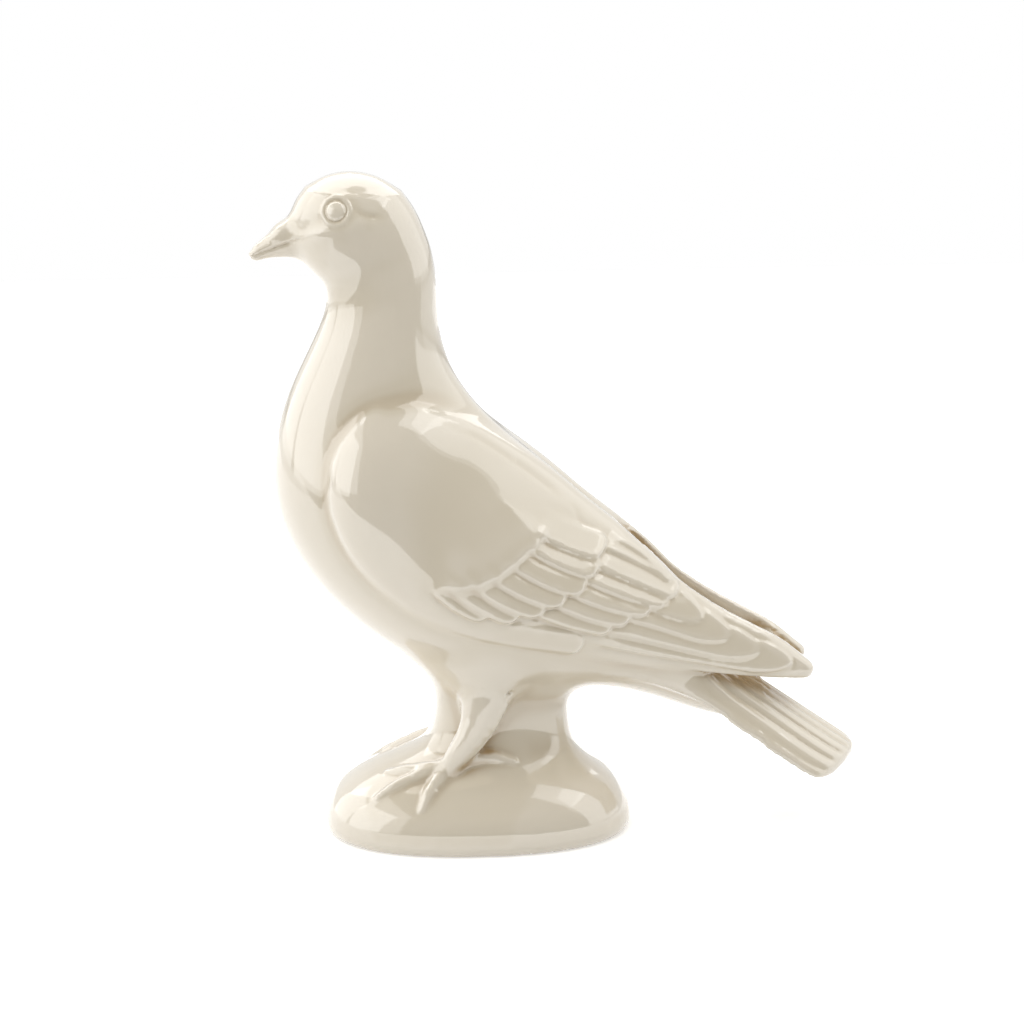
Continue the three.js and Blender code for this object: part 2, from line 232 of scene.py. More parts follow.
@dataclass
class Points:
    """Points folded onto the bird's left side, in millimetres."""

    x: Values
    y: Values
    z: Values

    @classmethod
    def folded(cls, places: Values) -> "Points":
        """Fold an array of x, y, z rows about the plane of symmetry."""
        return cls(places[:, 0], -np.abs(places[:, 1]), places[:, 2])

    @property
    def side(self) -> Values:
        """Distance from the plane of symmetry."""
        return -self.y


# Forms of the body


@dataclass
class Mound:
    """The squarish oval mound and the stem that carries the belly."""

    # Height, reach ahead of the origin and behind it, half-width
    sections: tuple = (
        (0, 47.8, 47.4, 33.2),
        (1.2, 49.0, 48.8, 34.8),
        (4, 49.5, 49.5, 35.4),
        (8, 48.8, 48.9, 35.0),
        (12, 46.8, 47.2, 33.6),
        (15.5, 43.8, 45.0, 31.0),
        (18.5, 39.4, 42.0, 28.2),
        (21.5, 33.4, 37.8, 24.8),
        (24.5, 26.4, 34.4, 21.4),
        (27.5, 20.2, 31.8, 18.6),
        (31, 16.4, 30.2, 16.8),
        (35, 14.8, 29.5, 16.0),
        (40, 14.0, 29.0, 15.6),
        (46, 14.2, 29.4, 16.0),
        (52, 16.0, 31.6, 18.0),
        (60, 20.0, 36.0, 20.0),
    )
    squareness: float = 2.3
    # Most that the skin spreads outwards over one millimetre of height
    spread: float = 3.0
    # Heights between which the skin is looked for, and how often that span is halved
    lowest: float = 4.0
    highest: float = 40.0
    halvings: int = 20

    def __post_init__(self) -> None:
        """Fit the section curves."""
        self.curves = Profile(self.sections, fairing=1.0)

    def distance(self, at: Points) -> Values:
        """Signed distance to the mound and stem.

        Args:
            at: Places, folded onto the left side.

        Returns:
            Signed distances, negative inside.
        """
        front, rear, half_width = self.curves(at.z)
        reach = np.where(at.x < 0, front, rear)
        wall = squarish(at.x, at.side, reach, half_width, self.squareness)
        top = at.z - self.curves.end
        return np.maximum(np.maximum(wall * self._slant(at), -at.z), top)

    def _slant(self, at: Points) -> Values:
        """How much nearer the skin is than it looks level, where the mound spreads.

        Args:
            at: Places, folded onto the left side.

        Returns:
            Shares of the level distance.
        """
        front, _, _ = self.curves(at.z)
        above, _, _ = self.curves(at.z + 1.0)
        return 1.0 / np.hypot(1.0, np.clip(front - above, 0.0, self.spread))

    def height(self, x: Values, y: Values) -> Values:
        """Height of the mound's skin over places inside its rim.

        Args:
            x: Places along X.
            y: Places along Y.

        Returns:
            Heights in millimetres.
        """
        low, high = np.full_like(x, self.lowest), np.full_like(x, self.highest)
        for _ in range(self.halvings):
            middle = (low + high) / 2
            front, rear, half_width = self.curves(middle)
            along = np.abs(x) / np.where(x < 0, front, rear)
            inside = along**self.squareness + (np.abs(y) / half_width) ** self.squareness < 1
            low, high = np.where(inside, middle, low), np.where(inside, high, middle)
        return low


@dataclass
class Trunk:
    """Neck, breast, back and belly: ovals in planes that fan out from a line behind the nape."""

    line_x: float = 90.0
    line_z: float = 203.0
    # How much narrower the ovals are at the back than at the breast, below the neck
    lean: float = 0.22
    # Angles at which that starts, is full, starts to fade and is gone
    lean_angles: tuple = (18.0, 34.0, 58.0, 76.0)
    # Angle below -X, distance from the line to the back and to the breast, half-width
    sections: tuple = (
        (-3, 114.6, 143.4, 11.6),
        (0, 110.0, 146.6, 14.6),
        (3, 106.8, 146.0, 15.6),
        (6, 105.2, 144.4, 15.6),
        (9, 104.8, 140.2, 15.5),
        (12, 105.2, 140.6, 15.7),
        (15, 106.2, 145.4, 16.8),
        (18, 107.6, 152.4, 18.2),
        (21, 108.8, 160.4, 20.0),
        (24, 109.7, 167.6, 21.8),
        (27, 110.2, 174.0, 23.8),
        (31, 110.0, 180.4, 26.8),
        (36, 109.2, 184.4, 29.8),
        (42, 107.6, 185.6, 31.6),
        (48, 107.0, 184.4, 32.2),
        (54, 107.6, 181.8, 31.0),
        (60, 109.4, 176.6, 28.6),
        (66, 111.8, 170.2, 25.2),
        (72, 119.4, 164.2, 21.2),
        (78, 131.6, 163.4, 17.6),
        (84, 146.0, 166.6, 13.6),
        (90, 158.0, 169.6, 7.0),
    )

    def __post_init__(self) -> None:
        """Fit the section curves."""
        self.curves = Profile(self.sections, fairing=1.6)

    def distance(self, at: Points) -> Values:
        """Signed distance to the trunk.

        Args:
            at: Places, folded onto the left side.

        Returns:
            Signed distances, negative inside.
        """
        ahead, below = self.line_x - at.x, self.line_z - at.z
        radius = np.hypot(ahead, below)
        angle = np.degrees(np.arctan2(below, ahead))
        back, breast, half_width = self.curves(angle)
        middle, half_depth = (back + breast) / 2, (breast - back) / 2
        start, full, fading, gone = self.lean_angles
        lean = self.lean * smoothstep(start, full, angle) * (1 - smoothstep(fading, gone, angle))
        half_width = half_width * (1 + lean * np.clip((radius - middle) / half_depth, -1.0, 1.0))
        skin = oval(radius - middle, at.side, half_depth, half_width)
        past = np.maximum(self.curves.start - angle, angle - self.curves.end)
        return np.maximum(skin, np.radians(past) * radius)


@dataclass
class Egg:
    """An ellipsoid tilted in the side view, and mirrored where it stands off the plane of symmetry."""

    x: float
    z: float
    length: float
    height: float
    width: float
    tilt: float
    y: float = 0.0

    def distance(self, at: Points) -> Values:
        """Signed distance to the egg.

        Args:
            at: Places, folded onto the left side.

        Returns:
            Signed distances, negative inside.
        """
        along, upward = turned(at.x - self.x, at.z - self.z, self.tilt)
        half = np.array([self.length, self.width, self.height]) / 2
        axes = tuple(zip((along, at.side - self.y, upward), half))
        reach = np.sqrt(sum((gap / size) ** 2 for gap, size in axes))
        slope = np.sqrt(sum((gap / size**2) ** 2 for gap, size in axes))
        return reach * (reach - 1.0) / np.maximum(slope, LEAST_SLOPE)


@dataclass
class Beak:
    """Two mandibles that meet at the gape."""

    # x from the tip back, top, gape and bottom in z, half-width
    sections: tuple = (
        (-70.2, 193.2, 190.3, 188.6, 1.8),
        (-68.8, 194.2, 191.0, 188.6, 2.3),
        (-65.2, 197.2, 192.6, 189.1, 3.2),
        (-61.7, 199.8, 194.0, 189.2, 4.3),
        (-58.2, 202.4, 195.6, 189.0, 5.4),
        (-53.6, 204.2, 197.6, 188.4, 6.6),
        (-48.0, 205.6, 198.6, 187.0, 8.6),
    )
    # Width of the lower mandible as a share of the upper one's
    lower_share: float = 0.88
    # How much nearer the skin is than it looks square across, because the beak tapers
    taper: float = 0.86
    end_rounding: float = 0.8
    tip_fillet: float = 1.2
    cere_fillet: float = 2.2
    tip: Egg = field(default_factory=lambda: Egg(-69.2, 190.6, 6.6, 3.9, 3.6, -34))
    # The swelling beside the nostril
    cere: Egg = field(default_factory=lambda: Egg(-61.1, 198.0, 8.6, 4.2, 4.4, -36, 2.3))

    def __post_init__(self) -> None:
        """Fit the section curves."""
        self.curves = Profile(self.sections, fairing=0.6)

    def distance(self, at: Points) -> Values:
        """Signed distance to the beak with its rounded tip and the swellings beside its nostrils.

        Args:
            at: Places, folded onto the left side.

        Returns:
            Signed distances, negative inside.
        """
        top, gape, bottom, half_width = self.curves(at.x)
        upper = at.z > gape
        height = np.where(upper, top - gape, gape - bottom)
        width = half_width * np.where(upper, 1.0, self.lower_share)
        skin = oval(at.side, at.z - gape, width, height) * self.taper
        past = np.maximum(self.curves.start - at.x, at.x - self.curves.end)
        skin = blend(meet(skin, past, self.end_rounding), self.tip.distance(at), self.tip_fillet)
        return blend(skin, self.cere.distance(at), self.cere_fillet)


@dataclass
class Bar:
    """A round bar along a path of points, each with its own radius."""

    points: Values
    radii: Values

    def distance(self, at: Points) -> Values:
        """Signed distance to the bar.

        Args:
            at: Places, folded onto the left side.

        Returns:
            Signed distances, negative inside.
        """
        places = np.stack([at.x, at.y, at.z], 1)
        nearest = np.full(len(places), FAR)
        for _, _, gap, radius in stretches(places, self.points, self.radii):
            nearest = np.minimum(nearest, gap - radius)
        return nearest


@dataclass
class Leg:
    """Thigh, shank and the four toes that grip the mound."""

    mound: Mound
    # Middle and radius, from the thigh down
    shank: tuple = (
        (3.0, -11.6, 62.0, 11.0),
        (2.0, -15.6, 54.0, 9.0),
        (0.6, -18.2, 47.0, 7.4),
        (-1.2, -19.8, 41.0, 5.9),
        (-3.6, -20.4, 36.4, 4.9),
        (-6.6, -20.4, 32.0, 4.2),
        (-9.2, -19.8, 28.2, 3.7),
        (-10.8, -18.8, 25.0, 3.0),
    )
    foot_x: float = -10.0
    foot_y: float = -19.0
    # How far the toes stand off the mound where they leave the foot
    rise: float = 0.3
    shank_steps: int = 14
    toe_steps: int = 10
    toe_fillet: float = 1.8
    # Tip of each toe on the mound, and how far the toe bows sideways
    toe_tips: tuple = ((-20.0, -29.0, -1.0), (-34.4, -20.4, -1.0), (-30.0, -10.6, 1.0), (9.8, -18.6, 0.8))
    # Share of the way to the tip, and radius there: two joints swell, then comes the claw
    toe_radii: tuple = ((0, 2.5), (0.26, 2.0), (0.4, 2.2), (0.56, 1.75), (0.7, 1.9), (0.84, 1.3), (1, 0.7))

    def __post_init__(self) -> None:
        """Lay out the bars."""
        rows = np.array(self.shank)
        heights = np.linspace(rows[0, 2], rows[-1, 2], self.shank_steps)
        order = np.argsort(rows[:, 2])
        columns = [np.interp(heights, rows[order, 2], rows[order, k]) for k in (0, 1, 3)]
        self.bars = [Bar(np.stack([columns[0], columns[1], heights], 1), columns[2])]
        radius = Profile(self.toe_radii)
        share = np.linspace(0.0, 1.0, self.toe_steps)
        for tip_x, tip_y, bow in self.toe_tips:
            span = math.hypot(tip_x - self.foot_x, tip_y - self.foot_y)
            sideways = bow * np.sin(math.pi * share)
            x = lerp(self.foot_x, tip_x, share) - sideways * (tip_y - self.foot_y) / span
            y = lerp(self.foot_y, tip_y, share) + sideways * (tip_x - self.foot_x) / span
            z = self.mound.height(x, y) + self.rise * (1 - share)
            self.bars.append(Bar(np.stack([x, y, z], 1), radius(share)[0]))

    def distance(self, at: Points) -> Values:
        """Signed distance to the leg and foot.

        Args:
            at: Places, folded onto the left side.

        Returns:
            Signed distances, negative inside.
        """
        skin = self.bars[0].distance(at)
        for toe in self.bars[1:]:
            skin = blend(skin, toe.distance(at), self.toe_fillet)
        return skin


@dataclass
class Tail:
    """An arched fan whose crown line slopes down behind the bird."""

    x: float = 62.0
    z: float = 67.6
    slope: float = 35.0
    length: float = 75.2
    # How much shorter the fan is at its corners than along its middle
    retreat: float = 6.0
    # How far past its edges the fan's arch goes on, as a share of the half-width
    overhang: float = 1.2
    # Extra thickness along the middle, as a share of the thickness at the edges
    heart: float = 1.0
    squareness: float = 2.6
    end_rounding: float = 2.4
    # Distance along the crown, half-width, fall of the edges, thickness there
    sections: tuple = (
        (-12, 15.6, 15.0, 5.4),
        (0, 15.6, 13.2, 5.0),
        (16, 16.0, 11.8, 4.6),
        (32, 17.0, 11.6, 4.6),
        (48, 18.8, 12.0, 4.4),
        (62, 20.8, 12.0, 4.4),
        (69, 20.6, 11.6, 4.0),
        (73, 18.8, 11.0, 3.6),
        (75.2, 16.0, 10.4, 3.2),
    )

    def __post_init__(self) -> None:
        """Fit the section curves."""
        self.curves = Profile(self.sections, fairing=1.0)

    def place(self, at: Points) -> tuple[Values, Values, Values]:
        """Distance along the crown, share of the half-width and depth below the arched skin.

        Args:
            at: Places, folded onto the left side.

        Returns:
            Distances, shares and depths.
        """
        along, above = turned(at.x - self.x, at.z - self.z, self.slope)
        half_width = self.curves(along)[0]
        # Twice, because the half-width hangs on the distance
        for _ in range(2):
            share = np.clip(at.side / half_width, 0.0, self.overhang)
            distance = along / (1.0 - self.retreat * share**2 / self.length)
            half_width = self.curves(distance)[0]
        fall = self.curves(distance)[1]
        return distance, at.side / half_width, -above - fall * share**2

    def distance(self, at: Points) -> Values:
        """Signed distance to the tail.

        Args:
            at: Places, folded onto the left side.

        Returns:
            Signed distances, negative inside.
        """
        distance, share, below = self.place(at)
        half_width, _, thickness = self.curves(distance)
        thickness = thickness * (1.0 + self.heart * np.clip(1.0 - share**2, 0.0, 1.0))
        skin = squarish(share * half_width, below - thickness / 2, half_width, thickness / 2, self.squareness)
        past = np.maximum(self.curves.start - distance, distance - self.curves.end)
        return meet(skin, past, self.end_rounding)


@dataclass
class Wing:
    """A folded wing. u runs back along it from the shoulder, v runs up, both in the side view."""

    x: float = -48.5
    z: float = 123.4
    tilt: float = 25.0
    squareness: float = 3.0
    end_rounding: float = 2.4
    # How far past its edges the skin's curve across goes on, as a share of the half-width
    overhang: float = 1.15
    # Where the carving fades: distance from the outer skin, and share of the way to the edges
    skin_fade: tuple = (1.6, 4.0)
    rim_fade: tuple = (0.9, 1.02)
    # Clay left between the tips, first a saddle and then a lower floor: u and v of the middle,
    # length, height, width
    web: tuple = ((156.0, 1.4, 9.0, 8.0, 18.0), (163.4, -0.9, 16.0, 4.8, 18.0))
    # u, lower and upper edge in v, the skin's distance from the plane of symmetry at the lower
    # edge and at the upper, the bulge between them, thickness
    stations: tuple = (
        (-1.6, 4.5, 13.0, 27.4, 26.8, 0.4, 5),
        (1, -3, 20.2, 29.0, 26.8, 2.4, 6.5),
        (6, -10.8, 25.4, 31.4, 26.6, 5.2, 8.4),
        (14, -18, 29.4, 33.0, 25.2, 7.3, 10),
        (24, -23.4, 31.8, 34.0, 22.4, 7.7, 11.6),
        (36, -27, 32.2, 34.6, 18.6, 7.7, 12),
        (50, -28.8, 30.4, 34.0, 15.6, 9.1, 11.4),
        (66, -27.8, 27.2, 32.0, 12.6, 9.4, 10.5),
        (84, -24, 22.2, 28.4, 12.0, 7.8, 9.6),
        (96, -21.4, 19.4, 26.0, 12.0, 6.4, 8.6),
        (104, -19.8, 17.2, 24.2, 12.0, 5.4, 7.8),
        (111, -18.3, 14.8, 22.6, 12.2, 4.2, 7.0),
        (118, -16.8, 12.0, 21.2, 12.6, 3.2, 6.6),
        (125, -15.1, 10.3, 19.6, 12.8, 2.5, 6.4),
        (134, -12.9, 8.9, 18.0, 13.0, 1.7, 6.2),
        (148, -9.2, 7.8, 16.0, 13.0, 0.9, 6.2),
        (155, -7.0, 7.3, 15.2, 12.9, 0.7, 6.4),
        (160, -5.4, 6.5, 14.6, 12.8, 0.6, 6.8),
        (164, -3.9, 5.4, 14.2, 12.7, 0.4, 7.0),
        (168, -2.5, 4.3, 13.6, 12.5, 0.3, 7.0),
        (171.6, -1.2, 3.5, 13.0, 12.2, 0.1, 6.6),
    )

    def __post_init__(self) -> None:
        """Fit the station curves."""
        self.curves = Profile(self.stations, fairing=1.2)

    def place(self, at: Points) -> tuple[Values, Values]:
        """Position along the wing and up it."""
        return turned(at.x - self.x, at.z - self.z, self.tilt)

    def bridges(self) -> list[Egg]:
        """The clay left between the two wing tips.

        Returns:
            One egg for each lump of clay.
        """
        eggs = []
        for u, v, length, height, width in self.web:
            dx, dz = turned(u, v, -self.tilt)
            eggs.append(Egg(self.x + dx, self.z + dz, length, height, width, self.tilt))
        return eggs

    def share(self, u: Values, v: Values) -> Values:
        """Place across the wing, -1 at its lower edge and 1 at its upper."""
        low, high = self.curves(u)[:2]
        return (2 * v - low - high) / (high - low)

    def crown(self, u: Values, share: Values) -> Values:
        """Distance of the outer skin from the plane of symmetry, before its edges round off.

        Args:
            u: Places along the wing.
            share: Places across the wing, -1 to 1.

        Returns:
            Distances in millimetres.
        """
        _, _, at_low, at_high, bulge, _ = self.curves(u)
        across = np.clip(share, -self.overhang, self.overhang)
        return lerp(at_low, at_high, (across + 1) / 2) + bulge * (1 - across**2)

    def distance(self, at: Points) -> Values:
        """Signed distance to the wing.

        Args:
            at: Places, folded onto the left side.

        Returns:
            Signed distances, negative inside.
        """
        u, v = self.place(at)
        low, high, _, _, _, thickness = self.curves(u)
        share = self.share(u, v)
        depth = at.side - self.crown(u, share) + thickness / 2
        skin = squarish(share * (high - low) / 2, depth, (high - low) / 2, thickness / 2, self.squareness)
        past = np.maximum(self.curves.start - u, u - self.curves.end)
        return meet(skin, past, self.end_rounding)

    def on_skin(self, at: Points) -> Values:
        """1 on the outer skin, fading to 0 at its rim and inside.

        Args:
            at: Places, folded onto the left side.

        Returns:
            Shares from 0 to 1.
        """
        u, v = self.place(at)
        share = self.share(u, v)
        gap = np.abs(at.side - self.crown(u, share))
        on_rim = smoothstep(*self.rim_fade, np.abs(share))
        return (1 - smoothstep(*self.skin_fade, gap)) * (1 - on_rim)


# Carving


@dataclass(frozen=True)
class Stroke:
    """A line tooled along a path in a flat view: a groove where its height is negative."""

    path: tuple
    width: float
    height: float
    fade: float = 3.0
    # Width on the path's left, as a share of the width on its right
    left: float = 1.0
    steps_per_knot: int = 6

    def relief(self, a: Values, b: Values) -> Values:
        """Height of the stroke over the places a, b of the flat view.

        Args:
            a: First coordinate in the flat view.
            b: Second coordinate in the flat view.

        Returns:
            Heights in millimetres.
        """
        knots = np.array(self.path, float)
        marks = np.concatenate([[0.0], np.cumsum(np.linalg.norm(np.diff(knots, axis=0), axis=1))])
        smooth = Profile(tuple((m, *k) for m, k in zip(marks, knots)))
        along = np.linspace(0.0, marks[-1], self.steps_per_knot * len(knots))
        line = np.stack(smooth(along), 1)
        height = np.zeros_like(a)
        margin = 3 * self.width * max(self.left, 1.0)
        places = np.stack([a, b], 1)
        near = np.all((places > line.min(0) - margin) & (places < line.max(0) + margin), axis=1)
        places = places[near]
        gap, mark, side = np.full(len(places), FAR), np.zeros(len(places)), np.zeros(len(places))
        for span, away, reach, here in stretches(places, line, along):
            mark = np.where(reach < gap, here, mark)
            side = np.where(reach < gap, span[0] * away[:, 1] - span[1] * away[:, 0], side)
            gap = np.minimum(gap, reach)
        ends = smoothstep(0.0, self.fade, mark) * smoothstep(0.0, self.fade, marks[-1] - mark)
        width = self.width * np.where(side > 0, self.left, 1.0)
        height[near] = self.height * bump(gap, width) * ends
        return height


class Tip(Enum):
    """Shape of a feather's end: how long its rounding is for its width, and how square."""

    ROUND = (1.1, 2.3)
    LEAF = (2.6, 1.75)


@dataclass(frozen=True)
class Feather:
    """A feather on the wing: root, middle and tip of its shaft in u and v, and its half-width."""

    root: tuple[float, float]
    middle: tuple[float, float]
    tip: tuple[float, float]
    half_width: float

    def place(self, u: Values, v: Values) -> tuple[Values, Values, float]:
        """Distance along the shaft, offset above it, and its length.

        Args:
            u: Places along the wing.
            v: Places up the wing.

        Returns:
            Distances, offsets and the length, in millimetres.
        """
        root, tip = np.array(self.root), np.array(self.tip)
        length = float(np.linalg.norm(tip - root))
        ahead = (tip - root) / length
        along = (u - root[0]) * ahead[0] + (v - root[1]) * ahead[1]
        above = (v - root[1]) * ahead[0] - (u - root[0]) * ahead[1]
        middle = np.array(self.middle) - root
        share = middle @ ahead / length
        bow = (middle[1] * ahead[0] - middle[0] * ahead[1]) / (4 * share * (1 - share))
        reach = np.clip(along / length, -0.1, 1.1)
        return along, above - 4 * bow * reach * (1 - reach), length


@dataclass(frozen=True)
class FeatherRow:
    """Feathers from the lowest in the stack to the highest, carved like shingles."""

    feathers: tuple[Feather, ...]
    tip: Tip
    # Height at the feathers' tips, fall across them towards the upper edge, depth of the groove around them
    lift: float
    tilt: float
    groove: float
    # Height at the root as a share of the lift, half-width of the step at the edge, length of the fade-in
    root_share: float = 0.2
    edge: float = 0.75
    fade_in: float = 7.0
    # The bead along the edge: its height, distance inside the edge and width
    bead: float = 0.13
    bead_inside: float = 1.1
    bead_width: float = 0.85
    # The trench outside the edge: its share of the groove, distance outside the edge and width, its factor
    # at the root, one more than at the tip, and its share on the side that the next feather covers
    trench: float = 0.85
    trench_outside: float = 0.9
    trench_width: float = 1.1
    trench_root: float = 1.6
    trench_covered: float = 0.35
    # Place across a feather, as a share of its half-width, where the trench starts and is in full
    free: tuple = (0.6, -0.4)

    def carve(self, height: Values, u: Values, v: Values) -> Values:
        """Lay the row over a relief.

        Args:
            height: Relief carved so far.
            u: Places along the wing.
            v: Places up the wing.

        Returns:
            The relief with this row on top.
        """
        stretch, power = self.tip.value
        for feather in self.feathers:
            along, offset, length = feather.place(u, v)
            width = feather.half_width
            cap = stretch * width
            beyond = along - (length - cap)
            outside = np.where(
                beyond > 0,
                squarish(offset, np.maximum(beyond, 0.0), width, cap, power),
                np.abs(offset) - width,
            )
            start = smoothstep(0.0, self.fade_in, along)
            across = np.clip(offset / width, -1.0, 1.0)
            crown = self.lift * lerp(self.root_share, 1.0, np.clip(along / length, 0, 1)) - self.tilt * across
            crown = crown + self.bead * bump(outside + self.bead_inside, self.bead_width)
            cover = (1 - smoothstep(-self.edge, self.edge, outside)) * start
            trench = self.trench * self.groove * (self.trench_root - smoothstep(0.0, length, along))
            trench = trench * bump(outside - self.trench_outside, self.trench_width) * start
            trench = trench * lerp(self.trench_covered, 1.0, smoothstep(*self.free, across))
            height = lerp(height - trench, crown, cover)
        return height


@dataclass
class Plumage:
    """All that is carved on a wing's outer skin."""

    wing: Wing
    primaries: FeatherRow = FeatherRow(
        (
            Feather((96, -10.5), (130, -4.8), (163, 2.0), 5.2),
            Feather((98, -5.0), (125, -2.0), (151.6, 1.6), 5.2),
            Feather((102, 0.6), (122, 1.8), (140.6, 2.2), 5.0),
            Feather((104, 5.6), (118, 5.4), (129.8, 4.0), 4.8),
        ),
        Tip.LEAF,
        lift=0.75,
        tilt=0.3,
        groove=0.3,
    )
    bastard: FeatherRow = FeatherRow(
        (Feather((38, -24.4), (72, -22.2), (95.6, -16.4), 4.4),),
        Tip.ROUND,
        lift=0.7,
        tilt=0.25,
        groove=0.35,
        fade_in=26.0,
    )
    secondaries: FeatherRow = FeatherRow(
        (
            Feather((72, -8.6), (87, -9.6), (101.8, -7.4), 3.5),
            Feather((77, -3.4), (92, -4.8), (106.4, -2.8), 3.5),
            Feather((81, 1.2), (97, 0.2), (112.0, 2.2), 3.5),
            Feather((84, 6.2), (101, 5.2), (116.4, 5.8), 3.5),
            Feather((86, 10.8), (103, 10.0), (118.6, 9.2), 3.5),
            Feather((88, 15.6), (103, 14.8), (116.2, 12.2), 2.6),
            Feather((90, 18.6), (103, 17.0), (113.8, 13.8), 2.6),
        ),
        Tip.ROUND,
        lift=0.85,
        tilt=0.38,
        groove=0.35,
    )
    coverts: FeatherRow = FeatherRow(
        (
            Feather((41, -12.6), (51, -16.4), (63.4, -17.2), 4.0),
            Feather((46, -10.2), (58, -14.0), (72.0, -14.6), 4.0),
            Feather((52.4, -6.6), (64.5, -10.0), (78.6, -9.8), 4.0),
            Feather((57.6, -2.8), (70, -5.0), (83.4, -4.6), 4.0),
            Feather((61.6, 3.4), (75, 0.8), (88.2, 1.2), 4.0),
            Feather((64.6, 9.4), (78, 7.4), (90.4, 7.4), 4.0),
            Feather((65, 14.6), (78, 12.9), (90.4, 13.4), 4.2),
        ),
        Tip.ROUND,
        lift=0.95,
        tilt=0.42,
        groove=0.42,
    )
    # The scapulars' groove in two lengths, then the lip that ends the smooth shoulder
    strokes: tuple[Stroke, ...] = (
        Stroke(((20, 30.4), (33, 30.2), (46, 28.3), (60, 25.2), (73.7, 21.8)), 0.9, -0.38, 9.0),
        Stroke(((73, 21.6), (77.6, 20.0), (79.4, 18.4), (84, 17.4), (95, 16.0), (108, 12.6)), 0.8, -0.3, 7.0),
        Stroke(
            (
                (42, -16.4), (49, -13.0), (56.3, -8.4), (59.6, -4.7),
                (63.2, 1.0), (66, 5.6), (69, 11.6), (69.6, 16.6),
            ),
            1.7, 1.35, 9.0, 6.0,
        ),
    )

    def relief(self, at: Points) -> Values:
        """Height of the carving over the wing's plain skin.

        Args:
            at: Places, folded onto the left side.

        Returns:
            Heights in millimetres.
        """
        u, v = self.wing.place(at)
        height = np.zeros_like(u)
        for row in (self.primaries, self.bastard, self.secondaries, self.coverts):
            height = row.carve(height, u, v)
        for stroke in self.strokes:
            height = height + stroke.relief(u, v)
        return height * self.wing.on_skin(at)


@dataclass
class Face:
    """What is carved on the head: eyes, brow, cheeks and the line of the mouth."""

    beak: Beak
    skull: Egg
    eye_x: float = -44.9
    eye_z: float = 206.3
    eye_side: float = 13.4
    ball_radius: float = 3.15
    ball_rise: float = 1.8
    ring_radius: float = 4.3
    ring_width: float = 1.0
    ring_height: float = 0.62
    pit_radius: float = 3.25
    pit_depth: float = 0.1
    pit_width: float = 0.55
    socket_radius: float = 6.4
    socket_width: float = 1.3
    socket_depth: float = 0.35
    mouth_width: float = 0.42
    mouth_depth: float = 0.55
    # Lore, brow, eye crease and cheek: strokes in the side view, x and z
    strokes: tuple[Stroke, ...] = (
        Stroke(((-48.8, 205.2), (-51.5, 202.4), (-55.0, 200.2), (-58.4, 198.8)), 2.2, -0.65, 2.5),
        Stroke(((-50.6, 208.9), (-47.6, 211.6), (-43.0, 211.6), (-39.8, 209.4)), 2.2, 0.3, 3.0),
        Stroke(
            ((-40.2, 208.4), (-38.8, 206.8), (-36.8, 205.5), (-33.0, 204.6), (-28.5, 204.0)),
            1.0, -0.55, 5.0,
        ),
        Stroke(
            ((-55.0, 197.8), (-51.6, 199.2), (-47.0, 200.2), (-42.4, 200.9), (-38.2, 202.4), (-34.0, 203.2)),
            2.6, 0.6, 5.0,
        ),
    )
    # Where the strokes fade in: height, distance from the plane of symmetry and from the eye's axis
    head_fade: tuple = (185.0, 190.0)
    side_fade: tuple = (2.0, 6.0)
    eye_fade: tuple = (2.0, 5.0)
    # Reach of the eye's forms from its axis, and how far inwards along it
    eye_reach: float = 12.0
    eye_depth: float = 6.0
    # Where the mouth line fades out, at the feathers and at the tip of the beak
    gape_fade: tuple = (-54.6, -57.0)
    tip_fade: tuple = (-71.2, -69.8)

    def __post_init__(self) -> None:
        """Find which way the eye looks."""
        skull = self.skull
        outward = np.array(
            [
                (self.eye_x - skull.x) / skull.length**2,
                -self.eye_side / skull.width**2,
                (self.eye_z - skull.z) / skull.height**2,
            ]
        )
        self.outward = outward / np.linalg.norm(outward)

    def eye_gap(self, at: Points) -> Values:
        """Distance from the eye's axis, large on the far side of the head.

        Args:
            at: Places, folded onto the left side.

        Returns:
            Distances in millimetres.
        """
        gap = np.stack([at.x - self.eye_x, at.y + self.eye_side, at.z - self.eye_z], 1)
        rise = gap @ self.outward
        radial = np.linalg.norm(gap - rise[:, None] * self.outward, axis=1)
        return np.where(rise > -self.eye_depth, radial, FAR)

    def relief(self, at: Points) -> Values:
        """Height of the carving over the plain head.

        Args:
            at: Places, folded onto the left side.

        Returns:
            Heights in millimetres.
        """
        on_head = smoothstep(*self.head_fade, at.z) * smoothstep(*self.side_fade, at.side)
        height = sum(stroke.relief(at.x, at.z) for stroke in self.strokes) * on_head
        gap = self.eye_gap(at)
        height = height * smoothstep(*self.eye_fade, gap)
        ball = np.sqrt(np.maximum(self.ball_radius**2 - gap**2, 0.0)) * self.ball_rise / self.ball_radius
        ring = self.ring_height * bump(gap - self.ring_radius, self.ring_width)
        rim_pit = -self.pit_depth * bump(gap - self.pit_radius, self.pit_width)
        socket = -self.socket_depth * bump(gap - self.socket_radius, self.socket_width)
        height = height + np.where(gap < self.eye_reach, np.maximum(ball, ring + rim_pit + socket), 0.0)
        gape = self.beak.curves(at.x)[1]
        on_beak = smoothstep(*self.gape_fade, at.x) * smoothstep(*self.tip_fade, at.x)
        return height - self.mouth_depth * bump(at.z - gape, self.mouth_width) * on_beak


